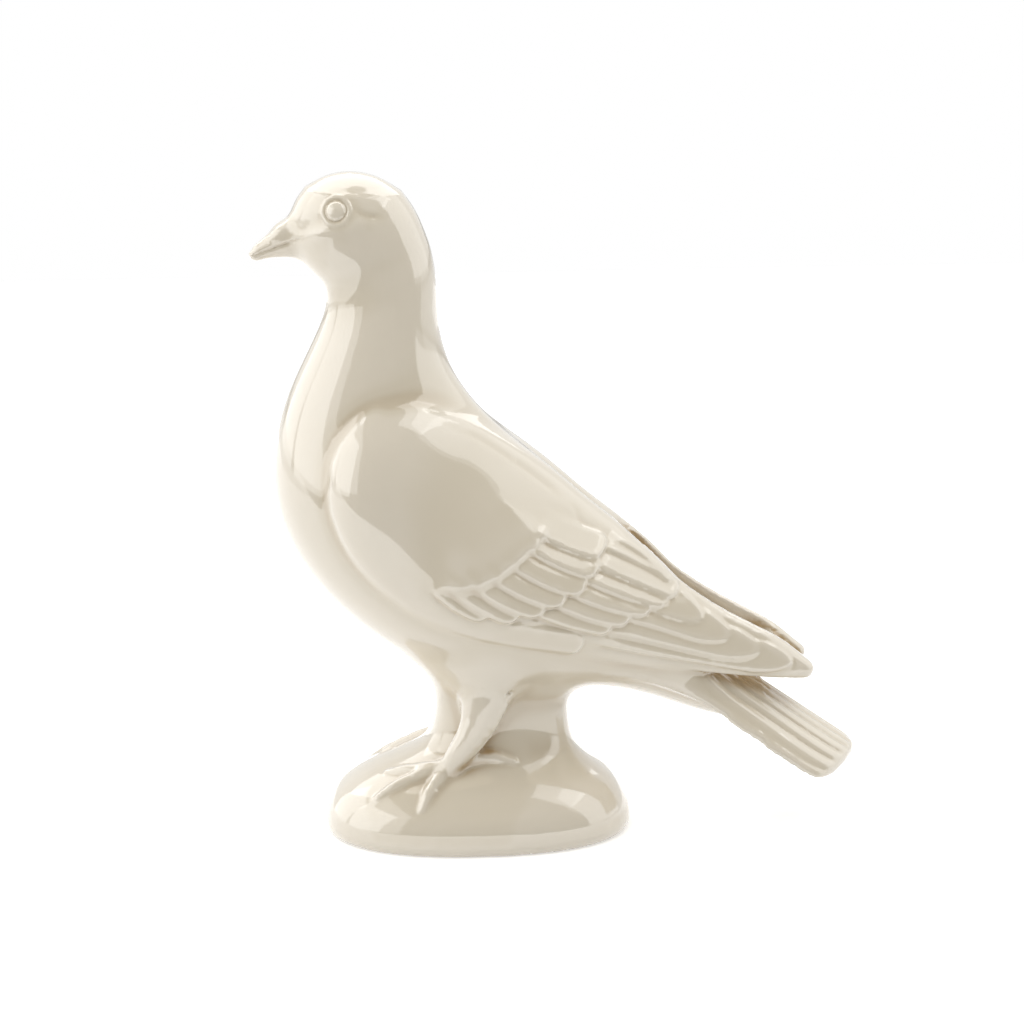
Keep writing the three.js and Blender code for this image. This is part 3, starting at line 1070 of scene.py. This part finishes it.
@dataclass
class Flutes:
    """Feather ribs along the top of the tail."""

    tail: Tail
    # Ribs on each half, their height, and how sharp the lines between them are: 1 is a plain wave
    ribs: float = 5.5
    depth: float = 0.75
    sharpness: float = 0.7
    # Where they fade: below the top skin and above it, along the tail at its start and end, towards its edge
    skin_fade: tuple = (0.8, 2.0)
    above_fade: tuple = (-3.0, 0.0)
    start_fade: tuple = (4.0, 20.0)
    end_fade: tuple = (70.0, 74.0)
    rim_fade: tuple = (0.84, 0.97)

    def relief(self, at: Points) -> Values:
        """Height of the ribs over the tail's plain skin.

        Args:
            at: Places, folded onto the left side.

        Returns:
            Heights in millimetres.
        """
        distance, share, below = self.tail.place(at)
        on_top = (1 - smoothstep(*self.skin_fade, below)) * smoothstep(*self.above_fade, below)
        along = smoothstep(*self.start_fade, distance) * (1 - smoothstep(*self.end_fade, distance))
        wave = np.abs(np.sin(math.pi * self.ribs * np.abs(share)))
        within = 1 - smoothstep(*self.rim_fade, np.abs(share))
        return self.depth * (wave**self.sharpness - 0.5) * on_top * along * within


@dataclass
class Sinews:
    """Lines on the legs: the pit of the hock, the tendon behind it and the ridge of the shin."""

    # Strokes in the side view, x and z
    strokes: tuple[Stroke, ...] = (
        Stroke(((7.9, 51.6), (8.5, 50.8), (8.9, 49.9)), 1.15, -1.1, 0.8),
        Stroke(((10.2, 49.0), (6.0, 41.6), (2.4, 36.4), (-1.6, 31.6), (-5.0, 27.4)), 1.5, 0.25, 5.0),
        Stroke(((6.8, 48.4), (3.4, 41.8), (0.2, 36.8), (-3.6, 32.0), (-6.6, 28.4)), 1.4, -0.25, 5.0),
        Stroke(((-5.2, 44.0), (-6.0, 40.0), (-8.2, 34.6), (-10.8, 29.2)), 1.2, 0.3, 4.0),
    )
    # The leg's outer skin: where it fades in from the plane of symmetry, its top, front and back
    side_fade: tuple = (15.0, 18.0)
    top: float = 56.0
    front: float = -16.0
    back: float = 14.0

    def relief(self, at: Points) -> Values:
        """Height of the lines over the plain leg.

        Args:
            at: Places, folded onto the left side.

        Returns:
            Heights in millimetres.
        """
        inside = (at.z < self.top) & (at.x > self.front) & (at.x < self.back)
        on_leg = smoothstep(*self.side_fade, at.side) * inside
        return sum(stroke.relief(at.x, at.z) for stroke in self.strokes) * on_leg


# The whole bird


@dataclass
class Dove:
    """Every form of the figurine joined with its fillets, and all that is carved on them."""

    mound: Mound = field(default_factory=Mound)
    trunk: Trunk = field(default_factory=Trunk)
    skull: Egg = field(default_factory=lambda: Egg(-38.7, 197.9, 41, 36, 32, 16))
    beak: Beak = field(default_factory=Beak)
    wing: Wing = field(default_factory=Wing)
    tail: Tail = field(default_factory=Tail)
    # Reach of the fillets where the forms join
    skull_fillet: float = 3.0
    beak_fillet: float = 2.4
    mound_fillet: float = 9.0
    tail_fillet: float = 3.5
    web_fillet: float = 2.0
    # The wing's fillet low and high on it, and the heights v between which it grows
    wing_fillets: tuple = (1.8, 5.4)
    wing_heights: tuple = (8.0, 24.0)
    # The leg's fillet at the toes and at the shank, how much it grows at the thigh, and where it changes
    leg_fillets: tuple = (1.5, 3.0)
    thigh_fillet: float = 7.0
    shank_heights: tuple = (26.0, 44.0)
    thigh_heights: tuple = (44.0, 60.0)
    # Box round the legs: front, back and top
    leg_box: tuple = (-50.0, 30.0, 76.0)
    # Reach of the samples that the slope is measured over
    sample_reach: float = 0.04

    def __post_init__(self) -> None:
        """Make the parts that lean on others."""
        self.leg = Leg(self.mound)
        self.bridges = self.wing.bridges()
        self.carving = (Plumage(self.wing), Face(self.beak, self.skull), Flutes(self.tail), Sinews())

    def distance(self, places: Values) -> Values:
        """Signed distance from places, in millimetres, to the plain skin.

        Args:
            places: Rows of x, y and z in millimetres.

        Returns:
            Signed distances, negative inside.
        """
        at = Points.folded(places)
        skin = self.trunk.distance(at)
        for form, fillet in (
            (self.skull, self.skull_fillet),
            (self.beak, self.beak_fillet),
            (self.mound, self.mound_fillet),
            (self.tail, self.tail_fillet),
        ):
            skin = blend(skin, form.distance(at), fillet)
        wings = self.wing.distance(at)
        for clay in self.bridges:
            wings = blend(wings, clay.distance(at), self.web_fillet)
        _, v = self.wing.place(at)
        skin = blend(skin, wings, lerp(*self.wing_fillets, smoothstep(*self.wing_heights, v)))
        front, back, top = self.leg_box
        low = (at.z < top) & (at.x < back) & (at.x > front)
        near = Points(at.x[low], at.y[low], at.z[low])
        grip = lerp(*self.leg_fillets, smoothstep(*self.shank_heights, near.z))
        grip = grip + self.thigh_fillet * smoothstep(*self.thigh_heights, near.z)
        skin[low] = blend(skin[low], self.leg.distance(near), grip)
        return np.maximum(skin, -at.z)

    def slope(self, places: Values) -> tuple[Values, Values]:
        """Signed distances and their gradient, from four places round each one.

        Args:
            places: Rows of x, y and z in millimetres.

        Returns:
            Distances, and one gradient row for each place.
        """
        corners = np.array([[1, -1, -1], [-1, -1, 1], [-1, 1, -1], [1, 1, 1]], float)
        samples = [self.distance(places + self.sample_reach * corner) for corner in corners]
        gradient = sum(corner * sample[:, None] for corner, sample in zip(corners, samples))
        return sum(samples) / 4, gradient / (4 * self.sample_reach)

    def relief(self, places: Values) -> Values:
        """Height of the carving at places on the plain skin."""
        at = Points.folded(places)
        return sum(carving.relief(at) for carving in self.carving)


# Mesh


@dataclass
class Sculptor:
    """Turns the plain faceted casting into the finished skin of the bird."""

    dove: Dove
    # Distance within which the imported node's loose corners are merged, and cell of the blank's mesh
    weld: float = 0.001
    voxel: float = 1.7
    # How far the blank's beak is pulled ahead and down, and where in x that starts and is in full
    pull: tuple = (1.2, 0.4)
    pull_fade: tuple = (-63.0, -71.0)
    # Rounds and ease of the settling, for the blank and after each refinement, its longest step and
    # the least gradient that a step is worked out from
    blank_settling: tuple = (12, 0.5)
    fine_settling: tuple = (3, 0.4)
    longest_step: float = 1.2
    least_gradient: float = 0.2
    # Times that busy places are refined, and the bend between neighbours that makes a place busy
    levels: int = 2
    crease: float = 0.065
    # The beak's lowest z and the back of its sharp end, then the lowest z and the back of the face
    beak_z: float = 180.0
    beak_end: float = -62.0
    face: tuple = (186.0, -50.0)
    # Middle of the foot, x and distance from the plane of symmetry, reach of the toes, back and top of it
    foot: tuple = (-12.0, 19.0, 24.0, 14.0, 34.0)
    # The tail's rim: least x, highest z and least distance from the plane of symmetry
    rim: tuple = (58.0, 70.0, 14.0)
    # Rounds and ease of the smoothing after the carving, and rounds of the one that finds cavities
    smoothing: tuple = (2, 0.25)
    cavity_rounds: int = 12
    # Reaches at which the closeness in gaps is measured, for the glaze's painted shade
    gap_closeness_reaches: tuple = (4.0, 9.0, 16.0)

    def cast(self, node: str, name: str) -> bpy.types.Object:
        """Make the blank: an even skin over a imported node.

        Args:
            node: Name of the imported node.
            name: Name of the new piece.

        Returns:
            The new object, linked to the scene.
        """
        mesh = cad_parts[node].data.copy()
        work = bmesh.new()
        work.from_mesh(mesh)
        bmesh.ops.remove_doubles(work, verts=work.verts, dist=self.weld * MM)
        work.to_mesh(mesh)
        work.free()
        mesh.name = name
        mesh.materials.clear()
        piece = bpy.data.objects.new(name, mesh)
        bpy.context.scene.collection.objects.link(piece)
        remesh = piece.modifiers.new("even skin", "REMESH")
        remesh.mode = "VOXEL"
        remesh.voxel_size = self.voxel * MM
        evaluated = piece.evaluated_get(bpy.context.evaluated_depsgraph_get())
        piece.data = bpy.data.meshes.new_from_object(evaluated)
        piece.data.name = name
        piece.modifiers.clear()
        bpy.data.meshes.remove(mesh)
        self.drop_crumbs(piece.data)
        return piece

    def drop_crumbs(self, mesh: bpy.types.Mesh) -> None:
        """Keep only the largest connected part: the remesh leaves crumbs inside thin places.

        Args:
            mesh: Mesh to clean, changed in place.
        """
        work = bmesh.new()
        work.from_mesh(mesh)
        left, parts = set(work.verts), []
        while left:
            front, part = [left.pop()], []
            while front:
                vert = front.pop()
                part.append(vert)
                beside = left.intersection(edge.other_vert(vert) for edge in vert.link_edges)
                left -= beside
                front += beside
            parts.append(part)
        parts.sort(key=len)
        crumbs = [vert for part in parts[:-1] for vert in part]
        bmesh.ops.delete(work, geom=crumbs, context="VERTS")
        work.to_mesh(mesh)
        work.free()

    def read(self, mesh: bpy.types.Mesh) -> Values:
        """Places of a mesh's vertices, in millimetres.

        Args:
            mesh: Mesh to read.

        Returns:
            Rows of x, y and z.
        """
        flat = np.empty(len(mesh.vertices) * 3)
        mesh.vertices.foreach_get("co", flat)
        return flat.reshape(-1, 3) / MM

    def write(self, mesh: bpy.types.Mesh, places: Values) -> None:
        """Move a mesh's vertices to places in millimetres."""
        mesh.vertices.foreach_set("co", (places * MM).ravel())
        mesh.update()

    def edges(self, mesh: bpy.types.Mesh) -> Values:
        """Pairs of vertices joined by an edge.

        Args:
            mesh: Mesh to read.

        Returns:
            Rows of two vertex numbers.
        """
        flat = np.empty(len(mesh.edges) * 2, int)
        mesh.edges.foreach_get("vertices", flat)
        return flat.reshape(-1, 2)

    def averaged(self, values: Values, edges: Values) -> Values:
        """Mean of the neighbours' values at each vertex.

        Args:
            values: One row of values for each vertex.
            edges: Pairs of vertices joined by an edge.

        Returns:
            One row of means for each vertex.
        """
        count = len(values)
        first, second = edges.T
        number = np.bincount(first, minlength=count) + np.bincount(second, minlength=count)
        total = [
            np.bincount(first, column[second], count) + np.bincount(second, column[first], count)
            for column in values.T
        ]
        return np.stack(total, 1) / number[:, None]

    def settle(self, mesh: bpy.types.Mesh, rounds: int, ease: float) -> Values:
        """Relax the mesh along the skin and draw it onto the form.

        Args:
            mesh: Mesh to move.
            rounds: How many times.
            ease: Share of the way to the neighbours' mean.

        Returns:
            Outward normals of the form at the vertices.
        """
        places, edges = self.read(mesh), self.edges(mesh)
        normal = np.zeros_like(places)
        for turn in range(rounds):
            if turn:
                pull = self.averaged(places, edges) - places
                pull -= normal * np.sum(pull * normal, 1)[:, None]
                places = places + ease * pull
            gap, gradient = self.dove.slope(places)
            size = np.maximum(np.linalg.norm(gradient, axis=1), self.least_gradient)
            normal = gradient / size[:, None]
            places = places - normal * np.clip(gap / size, -self.longest_step, self.longest_step)[:, None]
        self.write(mesh, places)
        return normal

    def refine(self, mesh: bpy.types.Mesh, zone: Values) -> None:
        """Split each face that has a marked vertex into four.

        Args:
            mesh: Mesh to split.
            zone: One truth value for each vertex.
        """
        work = bmesh.new()
        work.from_mesh(mesh)
        work.verts.ensure_lookup_table()
        faces = [face for face in work.faces if any(zone[vert.index] for vert in face.verts)]
        marked = {edge for face in faces for edge in face.edges}
        in_order = [edge for edge in work.edges if edge in marked]
        bmesh.ops.subdivide_edges(work, edges=in_order, cuts=1, use_grid_fill=True)
        work.to_mesh(mesh)
        work.free()

    def busy(self, mesh: bpy.types.Mesh, level: int) -> Values:
        """Vertices where the carving changes too fast for the mesh.

        Args:
            mesh: Mesh to look at.
            level: How many times it has been refined so far.

        Returns:
            One truth value for each vertex.
        """
        places, edges = self.read(mesh), self.edges(mesh)
        height = self.dove.relief(places)
        middle = self.dove.relief((places[edges[:, 0]] + places[edges[:, 1]]) / 2)
        bend = np.abs(middle - (height[edges[:, 0]] + height[edges[:, 1]]) / 2)
        rough = np.zeros(len(places))
        np.maximum.at(rough, edges[:, 0], bend)
        np.maximum.at(rough, edges[:, 1], bend)
        zone = rough > self.crease
        if level == 0:
            zone = zone | self.small_forms(Points.folded(places))
            spread = self.averaged(zone.astype(float)[:, None], edges)[:, 0] > 0
            zone = zone | spread
        return zone | (places[:, 0] < self.beak_end) & (places[:, 2] > self.beak_z)

    def small_forms(self, at: Points) -> Values:
        """Places on the face, the feet and the tail's rim, too small for the even mesh.

        Args:
            at: Places, folded onto the left side.

        Returns:
            One truth value for each place.
        """
        low, behind = self.face
        face = (at.z > low) & (at.x < behind)
        x, side, reach, back, top = self.foot
        foot = (at.z < top) & (np.hypot(at.x - x, at.side - side) < reach) & (at.x < back)
        x, highest, inner = self.rim
        return face | foot | (at.x > x) & (at.z < highest) & (at.side > inner)

    def draw_out(self, mesh: bpy.types.Mesh) -> None:
        """Pull the blank's beak past the finished tip, so that settling leaves faces for it.

        Args:
            mesh: Mesh, changed in place.
        """
        places = self.read(mesh)
        share = smoothstep(*self.pull_fade, places[:, 0]) * (places[:, 2] > self.beak_z)
        places[:, 0] -= self.pull[0] * share
        places[:, 2] -= self.pull[1] * share
        self.write(mesh, places)

    def cavity(self, places: Values, normal: Values, edges: Values) -> Values:
        """How far each vertex lies below its surroundings, in millimetres.

        Args:
            places: Rows of x, y and z in millimetres.
            normal: Outward normals at the vertices.
            edges: Pairs of vertices joined by an edge.

        Returns:
            Depths, negative on ridges.
        """
        smooth = places
        for _ in range(self.cavity_rounds):
            smooth = self.averaged(smooth, edges)
        return np.sum((smooth - places) * normal, 1)

    def gap_closeness_for_shade(self, places: Values, normal: Values) -> Values:
        """How closed in each vertex is by other forms, which the glaze turns into painted shade: 0 in the
        open, 1 well inside a gap.

        Args:
            places: Rows of x, y and z in millimetres.
            normal: Outward normals at the vertices.

        Returns:
            One share for each vertex.
        """
        closed = np.zeros(len(places))
        for reach in self.gap_closeness_reaches:
            closed += np.clip(1.0 - self.dove.distance(places + reach * normal) / reach, 0.0, 1.0)
        return closed / len(self.gap_closeness_reaches)

    def finish(self, piece: bpy.types.Object) -> None:
        """Shape, refine and carve a blank, and store its cavities, where the glaze is darker partly from
        pooling and partly from painted shade, and its closed-in gaps, which get painted shade.

        Args:
            piece: The blank, changed in place.
        """
        mesh = piece.data
        self.draw_out(mesh)
        self.settle(mesh, *self.blank_settling)
        for level in range(self.levels):
            self.refine(mesh, self.busy(mesh, level))
            normal = self.settle(mesh, *self.fine_settling)
            log.info("refined: %d faces", len(mesh.polygons))
        places, edges = self.read(mesh), self.edges(mesh)
        places = places + normal * self.dove.relief(places)[:, None]
        rounds, ease = self.smoothing
        for _ in range(rounds):
            places = lerp(places, self.averaged(places, edges), ease)
        places[:, 2] = np.maximum(places[:, 2], 0.0)
        self.write(mesh, places)
        # Stored for the glaze: cavity depth for its pooled tint, which is partly painted shade, and closeness
        # for the painted shade in gaps
        for name, values in (
            ("pool_and_shade_depth", self.cavity(places, normal, edges)),
            ("gap_closeness_for_shade", self.gap_closeness_for_shade(places, normal)),
        ):
            mesh.attributes.new(name, "FLOAT", "POINT").data.foreach_set("value", values)
        mesh.polygons.foreach_set("use_smooth", np.ones(len(mesh.polygons), bool))
        mesh.update()


# Finishes


class Socket:
    """A shader socket that takes part in Python expressions."""

    def __init__(self, nodes: "Nodes", output: bpy.types.NodeSocket) -> None:
        """Wrap an output socket of a node tree."""
        self.nodes = nodes
        self.output = output

    def _math(self, operation: str, first: object, second: object) -> "Socket":
        """Add a Math node."""
        return self.nodes.make("ShaderNodeMath", {"operation": operation}, {0: first, 1: second})

    def __add__(self, other: object) -> "Socket":
        """Sum."""
        return self._math("ADD", self, other)

    def __mul__(self, other: object) -> "Socket":
        """Product."""
        return self._math("MULTIPLY", self, other)

    def __sub__(self, other: object) -> "Socket":
        """Difference."""
        return self._math("SUBTRACT", self, other)

    def __rsub__(self, other: object) -> "Socket":
        """Difference from a number."""
        return self._math("SUBTRACT", other, self)

    __radd__ = __add__
    __rmul__ = __mul__


class Nodes:
    """Makes the nodes of one material or of the room."""

    def __init__(self, tree: bpy.types.NodeTree) -> None:
        """Start with an empty tree."""
        self.tree = tree
        tree.nodes.clear()

    def make(
        self,
        kind: str,
        settings: dict | None = None,
        inputs: dict | None = None,
        out: int | str | None = 0,
    ) -> Socket | None:
        """Add a node.

        Args:
            kind: Type of the node.
            settings: Its own properties, set first.
            inputs: Values or links of its sockets, by name or number.
            out: Name or number of the output that is wanted, None for no output.

        Returns:
            That output.
        """
        node = self.tree.nodes.new(kind)
        for name, value in (settings or {}).items():
            setattr(node, name, value)
        for name, value in (inputs or {}).items():
            if isinstance(value, Socket):
                self.tree.links.new(value.output, node.inputs[name])
            else:
                node.inputs[name].default_value = value
        return None if out is None else Socket(self, node.outputs[out])

    def mix(self, share: Socket, first: object, second: object) -> Socket:
        """Mix two colours."""
        inputs = {"Factor": share, 6: first, 7: second}
        return self.make("ShaderNodeMix", {"data_type": "RGBA"}, inputs, out=2)

    def ease(self, value: Socket, low: float, high: float) -> Socket:
        """Ease from 0 where the value is low to 1 where it is high."""
        inputs = {"Value": value, "From Min": low, "From Max": high}
        return self.make("ShaderNodeMapRange", {"interpolation_type": "SMOOTHSTEP"}, inputs)

    def noise(self, place: Socket, scale: float, detail: float) -> Socket:
        """Soft noise over a place."""
        return self.make("ShaderNodeTexNoise", inputs={"Vector": place, "Scale": scale, "Detail": detail})

    def attribute(self, name: str) -> Socket:
        """An attribute of the mesh."""
        return self.make("ShaderNodeAttribute", {"attribute_name": name}, out="Fac")


@dataclass(frozen=True)
class Glaze:
    """A thick glossy cream glaze that breaks paler over edges and is darker in creases, partly where it pools
    and partly from painted shade, with painted shade in the gaps between forms.
    """

    body: tuple = (0.715, 0.64, 0.505, 1.0)
    # Darker in creases: partly the glaze's own pooling, partly painted shade
    pooled_and_shaded: tuple = (0.58, 0.48, 0.335, 1.0)
    # Painted shade: dark brown where other forms close the skin in
    painted_gap_shade: tuple = (0.43, 0.29, 0.13, 1.0)
    thin: tuple = (0.79, 0.72, 0.60, 1.0)
    # Share of each tint where it is in full, and of the clouds in the body
    pooled_and_shaded_share: float = 0.6
    thin_share: float = 0.6
    painted_gap_shade_share: float = 0.9
    cloud_share: float = 0.16
    # Cavity in millimetres where the pooled tint, partly glaze pooling and partly painted shade, and the
    # thin film are in full, and closeness from which and to which the painted shade in the gaps darkens
    pool_and_shade_full_depth: float = 0.4
    edge_height: float = -0.3
    gap: tuple = (0.35, 0.95)
    # Scale and detail of the clouds in the colour, and of the ripples and the slower swell in the surface
    clouds: tuple = (55.0, 3.0)
    ripples: tuple = (140.0, 2.0)
    swells: tuple = (45.0, 1.0)
    ripple_share: float = 0.3
    # The wave's strength, and its height in metres
    wave_strength: float = 0.25
    wave_height: float = 0.0006
    gloss: float = 0.12
    coat_gloss: float = 0.02
    body_ior: float = 1.5
    coat_ior: float = 1.75

    def material(self) -> bpy.types.Material:
        """Build the glaze.

        Returns:
            The new material.
        """
        material = bpy.data.materials.new("glaze")
        material.use_nodes = True
        nodes = Nodes(material.node_tree)
        place = nodes.make("ShaderNodeTexCoord", out="Object")
        # Darker in creases, partly glaze pooling and partly painted shade; paler over ridges where the glaze
        # thins
        pool_and_shade_depth = nodes.attribute("pool_and_shade_depth")
        pooled_and_shaded = nodes.ease(pool_and_shade_depth, 0.0, self.pool_and_shade_full_depth) * self.pooled_and_shaded_share
        clouded = (nodes.noise(place, *self.clouds) - 0.5) * self.cloud_share
        tint = nodes.mix(pooled_and_shaded + clouded, self.body, self.pooled_and_shaded)
        tint = nodes.mix(nodes.ease(pool_and_shade_depth, 0.0, self.edge_height) * self.thin_share, tint, self.thin)
        # Painted shade in the gaps between forms
        tint = nodes.mix(nodes.ease(nodes.attribute("gap_closeness_for_shade"), *self.gap) * self.painted_gap_shade_share, tint, self.painted_gap_shade)
        wave = nodes.noise(place, *self.ripples) * self.ripple_share + nodes.noise(place, *self.swells)
        relief = nodes.make(
            "ShaderNodeBump",
            inputs={"Height": wave, "Strength": self.wave_strength, "Distance": self.wave_height},
        )
        shader = nodes.make(
            "ShaderNodeBsdfPrincipled",
            inputs={
                "Base Color": tint,
                "Roughness": self.gloss,
                "IOR": self.body_ior,
                "Coat Weight": 1.0,
                "Coat Roughness": self.coat_gloss,
                "Coat IOR": self.coat_ior,
                "Normal": relief,
            },
        )
        nodes.make("ShaderNodeOutputMaterial", inputs={"Surface": shader}, out=None)
        return material


# Studio


@dataclass(frozen=True)
class Panel:
    """A soft light panel that faces the bird. Lengths in metres, angles in degrees."""

    name: str
    # Compass angle from +Y towards +X, and height above the floor's plane, both seen from the bird
    azimuth: float
    elevation: float
    distance: float
    width: float
    height: float
    radiance: float
    # Whether the glaze mirrors it
    mirrored: bool = True

    def hang(self, aim: Vector) -> None:
        """Hang the panel round the place it faces.

        Args:
            aim: Place that it faces.
        """
        azimuth, elevation = math.radians(self.azimuth), math.radians(self.elevation)
        away = Vector(
            (
                math.sin(azimuth) * math.cos(elevation),
                math.cos(azimuth) * math.cos(elevation),
                math.sin(elevation),
            )
        )
        data = bpy.data.lights.new(self.name, "AREA")
        data.shape = "RECTANGLE"
        data.size, data.size_y = self.width, self.height
        data.energy = self.radiance * math.pi * self.width * self.height
        light = bpy.data.objects.new(self.name, data)
        light.visible_glossy = self.mirrored
        light.location = aim + self.distance * away
        light.rotation_euler = (-away).to_track_quat("-Z", "Y").to_euler()
        bpy.context.scene.collection.objects.link(light)


@dataclass
class Studio:
    """Floor, lights and camera. Lengths in metres, angles in degrees."""

    turn: float = -5.0
    rise: float = 15.0
    distance: float = 1.5
    aim: tuple = (0.011112, 0.0, 0.104737)
    lens: float = 164.8
    sensor: float = 36.0
    # Place that the panels face
    middle: tuple = (0.0, 0.0, 0.11)
    panels: tuple[Panel, ...] = (
        Panel("left panel", -102, 17, 1.5, 1.2, 1.5, 1.35),
        Panel("right panel", 88, 22, 1.7, 1.7, 1.5, 0.5),
        Panel("left rear panel", -58, 18, 1.8, 1.2, 1.5, 1.1),
        Panel("top panel", 0, 55, 1.9, 3.2, 1.8, 1.3),
        Panel("upper right panel", 98, 55, 1.7, 0.9, 0.8, 1.1),
        Panel("front fill", 170, 64, 1.7, 1.6, 1.4, 2.0, mirrored=False),
    )
    # The paper floor seen and mirrored, and the wider one under it that lights the bird: how far each
    # reaches, how pale it is and the light it gives off
    shown: float = 0.85
    shown_tone: float = 0.9
    shown_glow: float = 0.4
    reach: float = 6.0
    tone: float = 0.72
    glow: float = 0.12
    # Dark sheets that only the glaze mirrors: one on the floor, and one that stands round the camera's side
    apron_z: float = 0.0005
    apron_y: float = -0.29
    screen_radius: float = 2.6
    screen_height: float = 5.4
    screen_turn: tuple = (115.0, 220.0)
    screen_steps: int = 12
    darkness: float = 0.1
    # Half-width, front, back and height of the dark sheet overhead
    canopy: tuple = (1.3, -2.4, 0.4, 2.2)
    # Strength of the room for the bird's own colour and for what its glaze mirrors
    dim: float = 0.28
    sheen: float = 0.95

    def camera(self) -> None:
        """Stand the camera at the photograph's viewing angle."""
        turn, rise = math.radians(self.turn), math.radians(self.rise)
        back = Vector((math.sin(turn) * math.cos(rise), -math.cos(turn) * math.cos(rise), math.sin(rise)))
        data = bpy.data.cameras.new("camera")
        data.lens = self.lens
        data.sensor_width = self.sensor
        data.clip_end = 20.0
        camera = bpy.data.objects.new("camera", data)
        camera.location = Vector(self.aim) + back * self.distance
        camera.rotation_euler = (-back).to_track_quat("-Z", "Y").to_euler()
        bpy.context.scene.collection.objects.link(camera)
        bpy.context.scene.camera = camera

    def sheet(self, name: str, corners: list, settings: dict, steps: int = 1) -> bpy.types.Object:
        """Make a sheet of one face or of a strip of faces.

        Args:
            name: Name of the sheet and its material.
            corners: Its corners, one edge's end to end and then the other's back.
            settings: Values of its shader's sockets.
            steps: How many faces the strip has.

        Returns:
            The sheet.
        """
        work = bmesh.new()
        verts = [work.verts.new(corner) for corner in corners]
        for i in range(steps):
            work.faces.new([verts[i], verts[i + 1], verts[-i - 2], verts[-i - 1]])
        mesh = bpy.data.meshes.new(name)
        work.to_mesh(mesh)
        work.free()
        material = bpy.data.materials.new(name)
        material.use_nodes = True
        nodes = Nodes(material.node_tree)
        shader = nodes.make("ShaderNodeBsdfPrincipled", inputs=settings)
        nodes.make("ShaderNodeOutputMaterial", inputs={"Surface": shader}, out=None)
        mesh.materials.append(material)
        sheet = bpy.data.objects.new(name, mesh)
        bpy.context.scene.collection.objects.link(sheet)
        return sheet

    def square(self, half_width: float, front: float, back: float, z: float) -> list:
        """Corners of a level rectangle."""
        sides = ((-1, front), (1, front), (1, back), (-1, back))
        return [(side * half_width, y, z) for side, y in sides]

    def floor(self) -> None:
        """Lay the pale floor: a paper to see, over a wider one that lights the bird."""
        near = self.square(self.shown, -2 * self.shown, self.shown, 0.0)
        top = self.sheet("paper", near, self.paper(self.shown_tone, self.shown_glow))
        top.visible_diffuse = False
        top.visible_shadow = False
        wide = self.square(self.reach, -self.reach, self.reach, -self.apron_z)
        self.sheet("outer paper", wide, self.paper(self.tone, self.glow)).visible_camera = False

    def paper(self, tone: float, glow: float) -> dict:
        """Shader values of a dull gray paper that gives off some light.

        Args:
            tone: How pale it is, 0 to 1.
            glow: Strength of the light it gives off.

        Returns:
            Values by the shader's socket.
        """
        return {
            "Base Color": (tone, tone, tone, 1.0),
            "Roughness": 0.9,
            "Emission Color": (1.0, 1.0, 1.0, 1.0),
            "Emission Strength": glow,
        }

    def screens(self) -> None:
        """Stand the dark sheets that only the glaze mirrors."""
        gray = (self.darkness, self.darkness, self.darkness, 1.0)
        dark = {"Base Color": gray, "Roughness": 1.0, "Specular IOR Level": 0.0}
        steps = self.screen_steps
        ring = []
        for i in range(steps + 1):
            turn = math.radians(lerp(*self.screen_turn, i / steps))
            ring.append((self.screen_radius * math.sin(turn), self.screen_radius * math.cos(turn)))
        upright = [(x, y, 0.0) for x, y in ring] + [(x, y, self.screen_height) for x, y in reversed(ring)]
        for sheet in (
            self.sheet("apron", self.square(self.reach, -self.reach, self.apron_y, self.apron_z), dark),
            self.sheet("screen", upright, dark, steps),
            self.sheet("canopy", self.square(*self.canopy), dark),
        ):
            sheet.visible_camera = False
            sheet.visible_diffuse = False
            sheet.visible_shadow = False

    def room(self) -> None:
        """Make the room dim for the bird and white for the camera."""
        world = bpy.data.worlds.new("room")
        world.use_nodes = True
        nodes = Nodes(world.node_tree)
        shown = None
        white = (1.0, 1.0, 1.0, 1.0)
        for output, strength in ((None, self.dim), ("Is Glossy Ray", self.sheen), ("Is Camera Ray", 1.0)):
            light = nodes.make("ShaderNodeBackground", inputs={"Color": white, "Strength": strength})
            if output is None:
                shown = light
            else:
                path = nodes.make("ShaderNodeLightPath", out=output)
                shown = nodes.make("ShaderNodeMixShader", inputs={0: path, 1: shown, 2: light})
        nodes.make("ShaderNodeOutputWorld", inputs={"Surface": shown}, out=None)
        bpy.context.scene.world = world
        bpy.context.scene.view_settings.view_transform = "Standard"

    def build(self) -> None:
        """Set the whole studio up."""
        self.camera()
        self.floor()
        self.screens()
        for panel in self.panels:
            panel.hang(Vector(self.middle))
        self.room()


def main() -> None:
    """Build the bird and its studio in order."""
    logging.basicConfig(level=logging.INFO, format="%(message)s")
    dove = Dove()
    sculptor = Sculptor(dove)
    piece = sculptor.cast("dove", "dove_figurine")
    log.info("blank: %d faces", len(piece.data.polygons))
    sculptor.finish(piece)
    piece.data.materials.append(Glaze().material())
    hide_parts("dove")
    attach(piece, "root")
    piece.data.calc_loop_triangles()
    log.info("dove_figurine: %d triangles", len(piece.data.loop_triangles))
    Studio().build()
    log.info("studio: camera, floor and lights")


if __name__ == "__main__":
    main()
